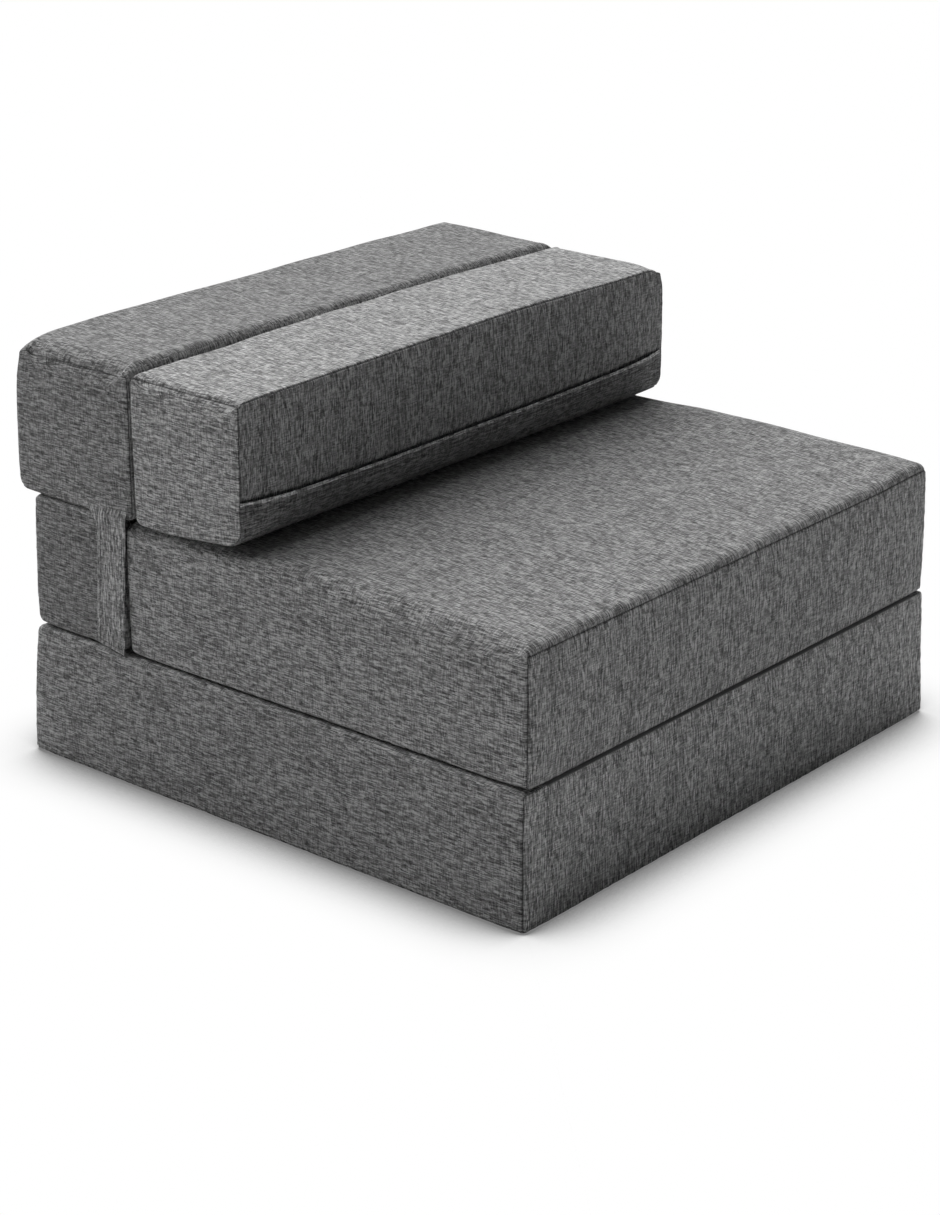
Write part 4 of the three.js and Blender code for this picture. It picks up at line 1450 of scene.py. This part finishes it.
line = HINGES["back_unfold"]
path = fold_path(line, BACK_WEB_RADIUS, line.y + BACK_WEB_TIP, line.y - WEB_PLY)
piece = web("back_web", path, "back_hinge_tape")
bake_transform(piece)

line = HINGES["bolster_flip"]
path = crest_path(line, BOLSTER_WEB_RADIUS, line.z - BOLSTER_WEB_DROP)
piece = web("bolster_web", path, "bolster_hinge_tape")
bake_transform(piece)

low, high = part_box("seat_joining_tape")
sag = [(low.y + (high.y - low.y) * t, (low.z + high.z) / 2 - JOINING_WEB_SAG * math.sin(math.pi * t))
       for t in np.linspace(0, 1, WEB_BEND_STEPS)]
piece = web("joining_web", sag, "seat_joining_tape", JOINING_WEB_THICKNESS)
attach(piece, "seat_layer")


# Camera, stage and light

CAMERA_TARGET = Vector((-0.074, -0.0442, 0.2))
CAMERA_AZIMUTH = -50.04
CAMERA_ELEVATION = 21.63
CAMERA_DISTANCE = 3.828
CAMERA_LENS = 92.02
CAMERA_SENSOR = 36
FLOOR_REACH = 30
# Reach and grey ramp of the painted shadow on the floor.
PAINTED_SHADOW_REACH = 0.12
PAINTED_SHADOW_STOPS = [(0.5, grey(0.2)), (0.553, grey(0.315)), (0.6575, grey(0.56)), (0.708, grey(0.68)),
                 (0.805, grey(0.855)), (0.891, grey(0.955)), (0.957, grey(0.99)), (1.0, grey(1.0))]
WORLD_LIGHT = 0.02
LAMP_STRENGTH = 3.8
LAMP_RADIUS = 42
LAMP_TILT = 42
LAMP_AZIMUTH = 20


def way_to(azimuth, elevation):
    """Unit vector from the chair, with the azimuth in degrees from the front towards the right."""
    turn, rise = math.radians(azimuth), math.radians(elevation)
    return Vector((math.sin(turn) * math.cos(rise), -math.cos(turn) * math.cos(rise), math.sin(rise)))


def place_camera():
    """The photograph's view: the chair seen from its left front corner, from a little above."""
    back = way_to(CAMERA_AZIMUTH, CAMERA_ELEVATION)
    camera = bpy.data.cameras.new("camera")
    camera.lens = CAMERA_LENS
    camera.sensor_width = CAMERA_SENSOR
    camera.clip_start, camera.clip_end = 0.05, 60
    made = add_object("camera", camera)
    made.location = CAMERA_TARGET + back * CAMERA_DISTANCE
    made.rotation_euler = (-back).to_track_quat("-Z", "Y").to_euler()
    bpy.context.scene.camera = made


def make_floor():
    """White floor. The camera sees a white emission, with a painted shadow near the chair."""
    corners = [(x * FLOOR_REACH, y * FLOOR_REACH, 0) for x, y in ((-1, -1), (1, -1), (1, 1), (-1, 1))]
    floor = mesh_object("floor", corners, [(0, 1, 2, 3)])
    material, wiring, shader = new_finish("pale_floor")
    wiring.feed(shader, {"Base Color": (0.9, 0.9, 0.9, 1), "Roughness": 1.0, "Specular IOR Level": 0.0})
    # Painted shadow: the emission that the camera sees darkens with the ambient occlusion near the
    # chair.
    near = wiring.add("ShaderNodeAmbientOcclusion", {"Distance": PAINTED_SHADOW_REACH})
    near.samples = 16
    seen = wiring.add("ShaderNodeEmission", {"Color": wiring.ramp(near.outputs["AO"], PAINTED_SHADOW_STOPS)})
    path = wiring.nodes.new("ShaderNodeLightPath")
    mix = wiring.add("ShaderNodeMixShader", {0: path.outputs["Is Camera Ray"], 1: shader.outputs[0],
                                             2: seen.outputs[0]})
    wiring.feed(wiring.nodes["Material Output"], {"Surface": mix.outputs[0]})
    dress(floor, material)


def make_world():
    """Dim light from all sides. The camera and glossy rays see it white."""
    world = bpy.data.worlds.new("studio")
    world.use_nodes = True
    wiring = Wiring(world.node_tree)
    lit = wiring.feed(wiring.nodes["Background"], {"Color": (1, 1, 1, 1), "Strength": WORLD_LIGHT})
    seen = wiring.add("ShaderNodeBackground", {"Color": (1, 1, 1, 1), "Strength": 1.0})
    path = wiring.nodes.new("ShaderNodeLightPath")
    either = wiring.step("MAXIMUM", path.outputs["Is Camera Ray"], path.outputs["Is Glossy Ray"])
    mix = wiring.add("ShaderNodeMixShader", {0: either, 1: lit.outputs[0], 2: seen.outputs[0]})
    wiring.feed(wiring.nodes["World Output"], {"Surface": mix.outputs[0]})
    bpy.context.scene.world = world


def hang_lamp():
    """Wide soft light from above and behind, as wide as its radius in degrees on each side."""
    lamp = bpy.data.lights.new("overhead", "SUN")
    lamp.energy = LAMP_STRENGTH
    lamp.angle = math.radians(2 * LAMP_RADIUS)
    source = way_to(180 - LAMP_AZIMUTH, 90 - LAMP_TILT)
    made = add_object("overhead", lamp)
    made.location = source * 3
    made.rotation_euler = source.to_track_quat("Z", "Y").to_euler()


place_camera()
make_floor()
make_world()
hang_lamp()
scene = bpy.context.scene
scene.view_settings.view_transform = "Standard"
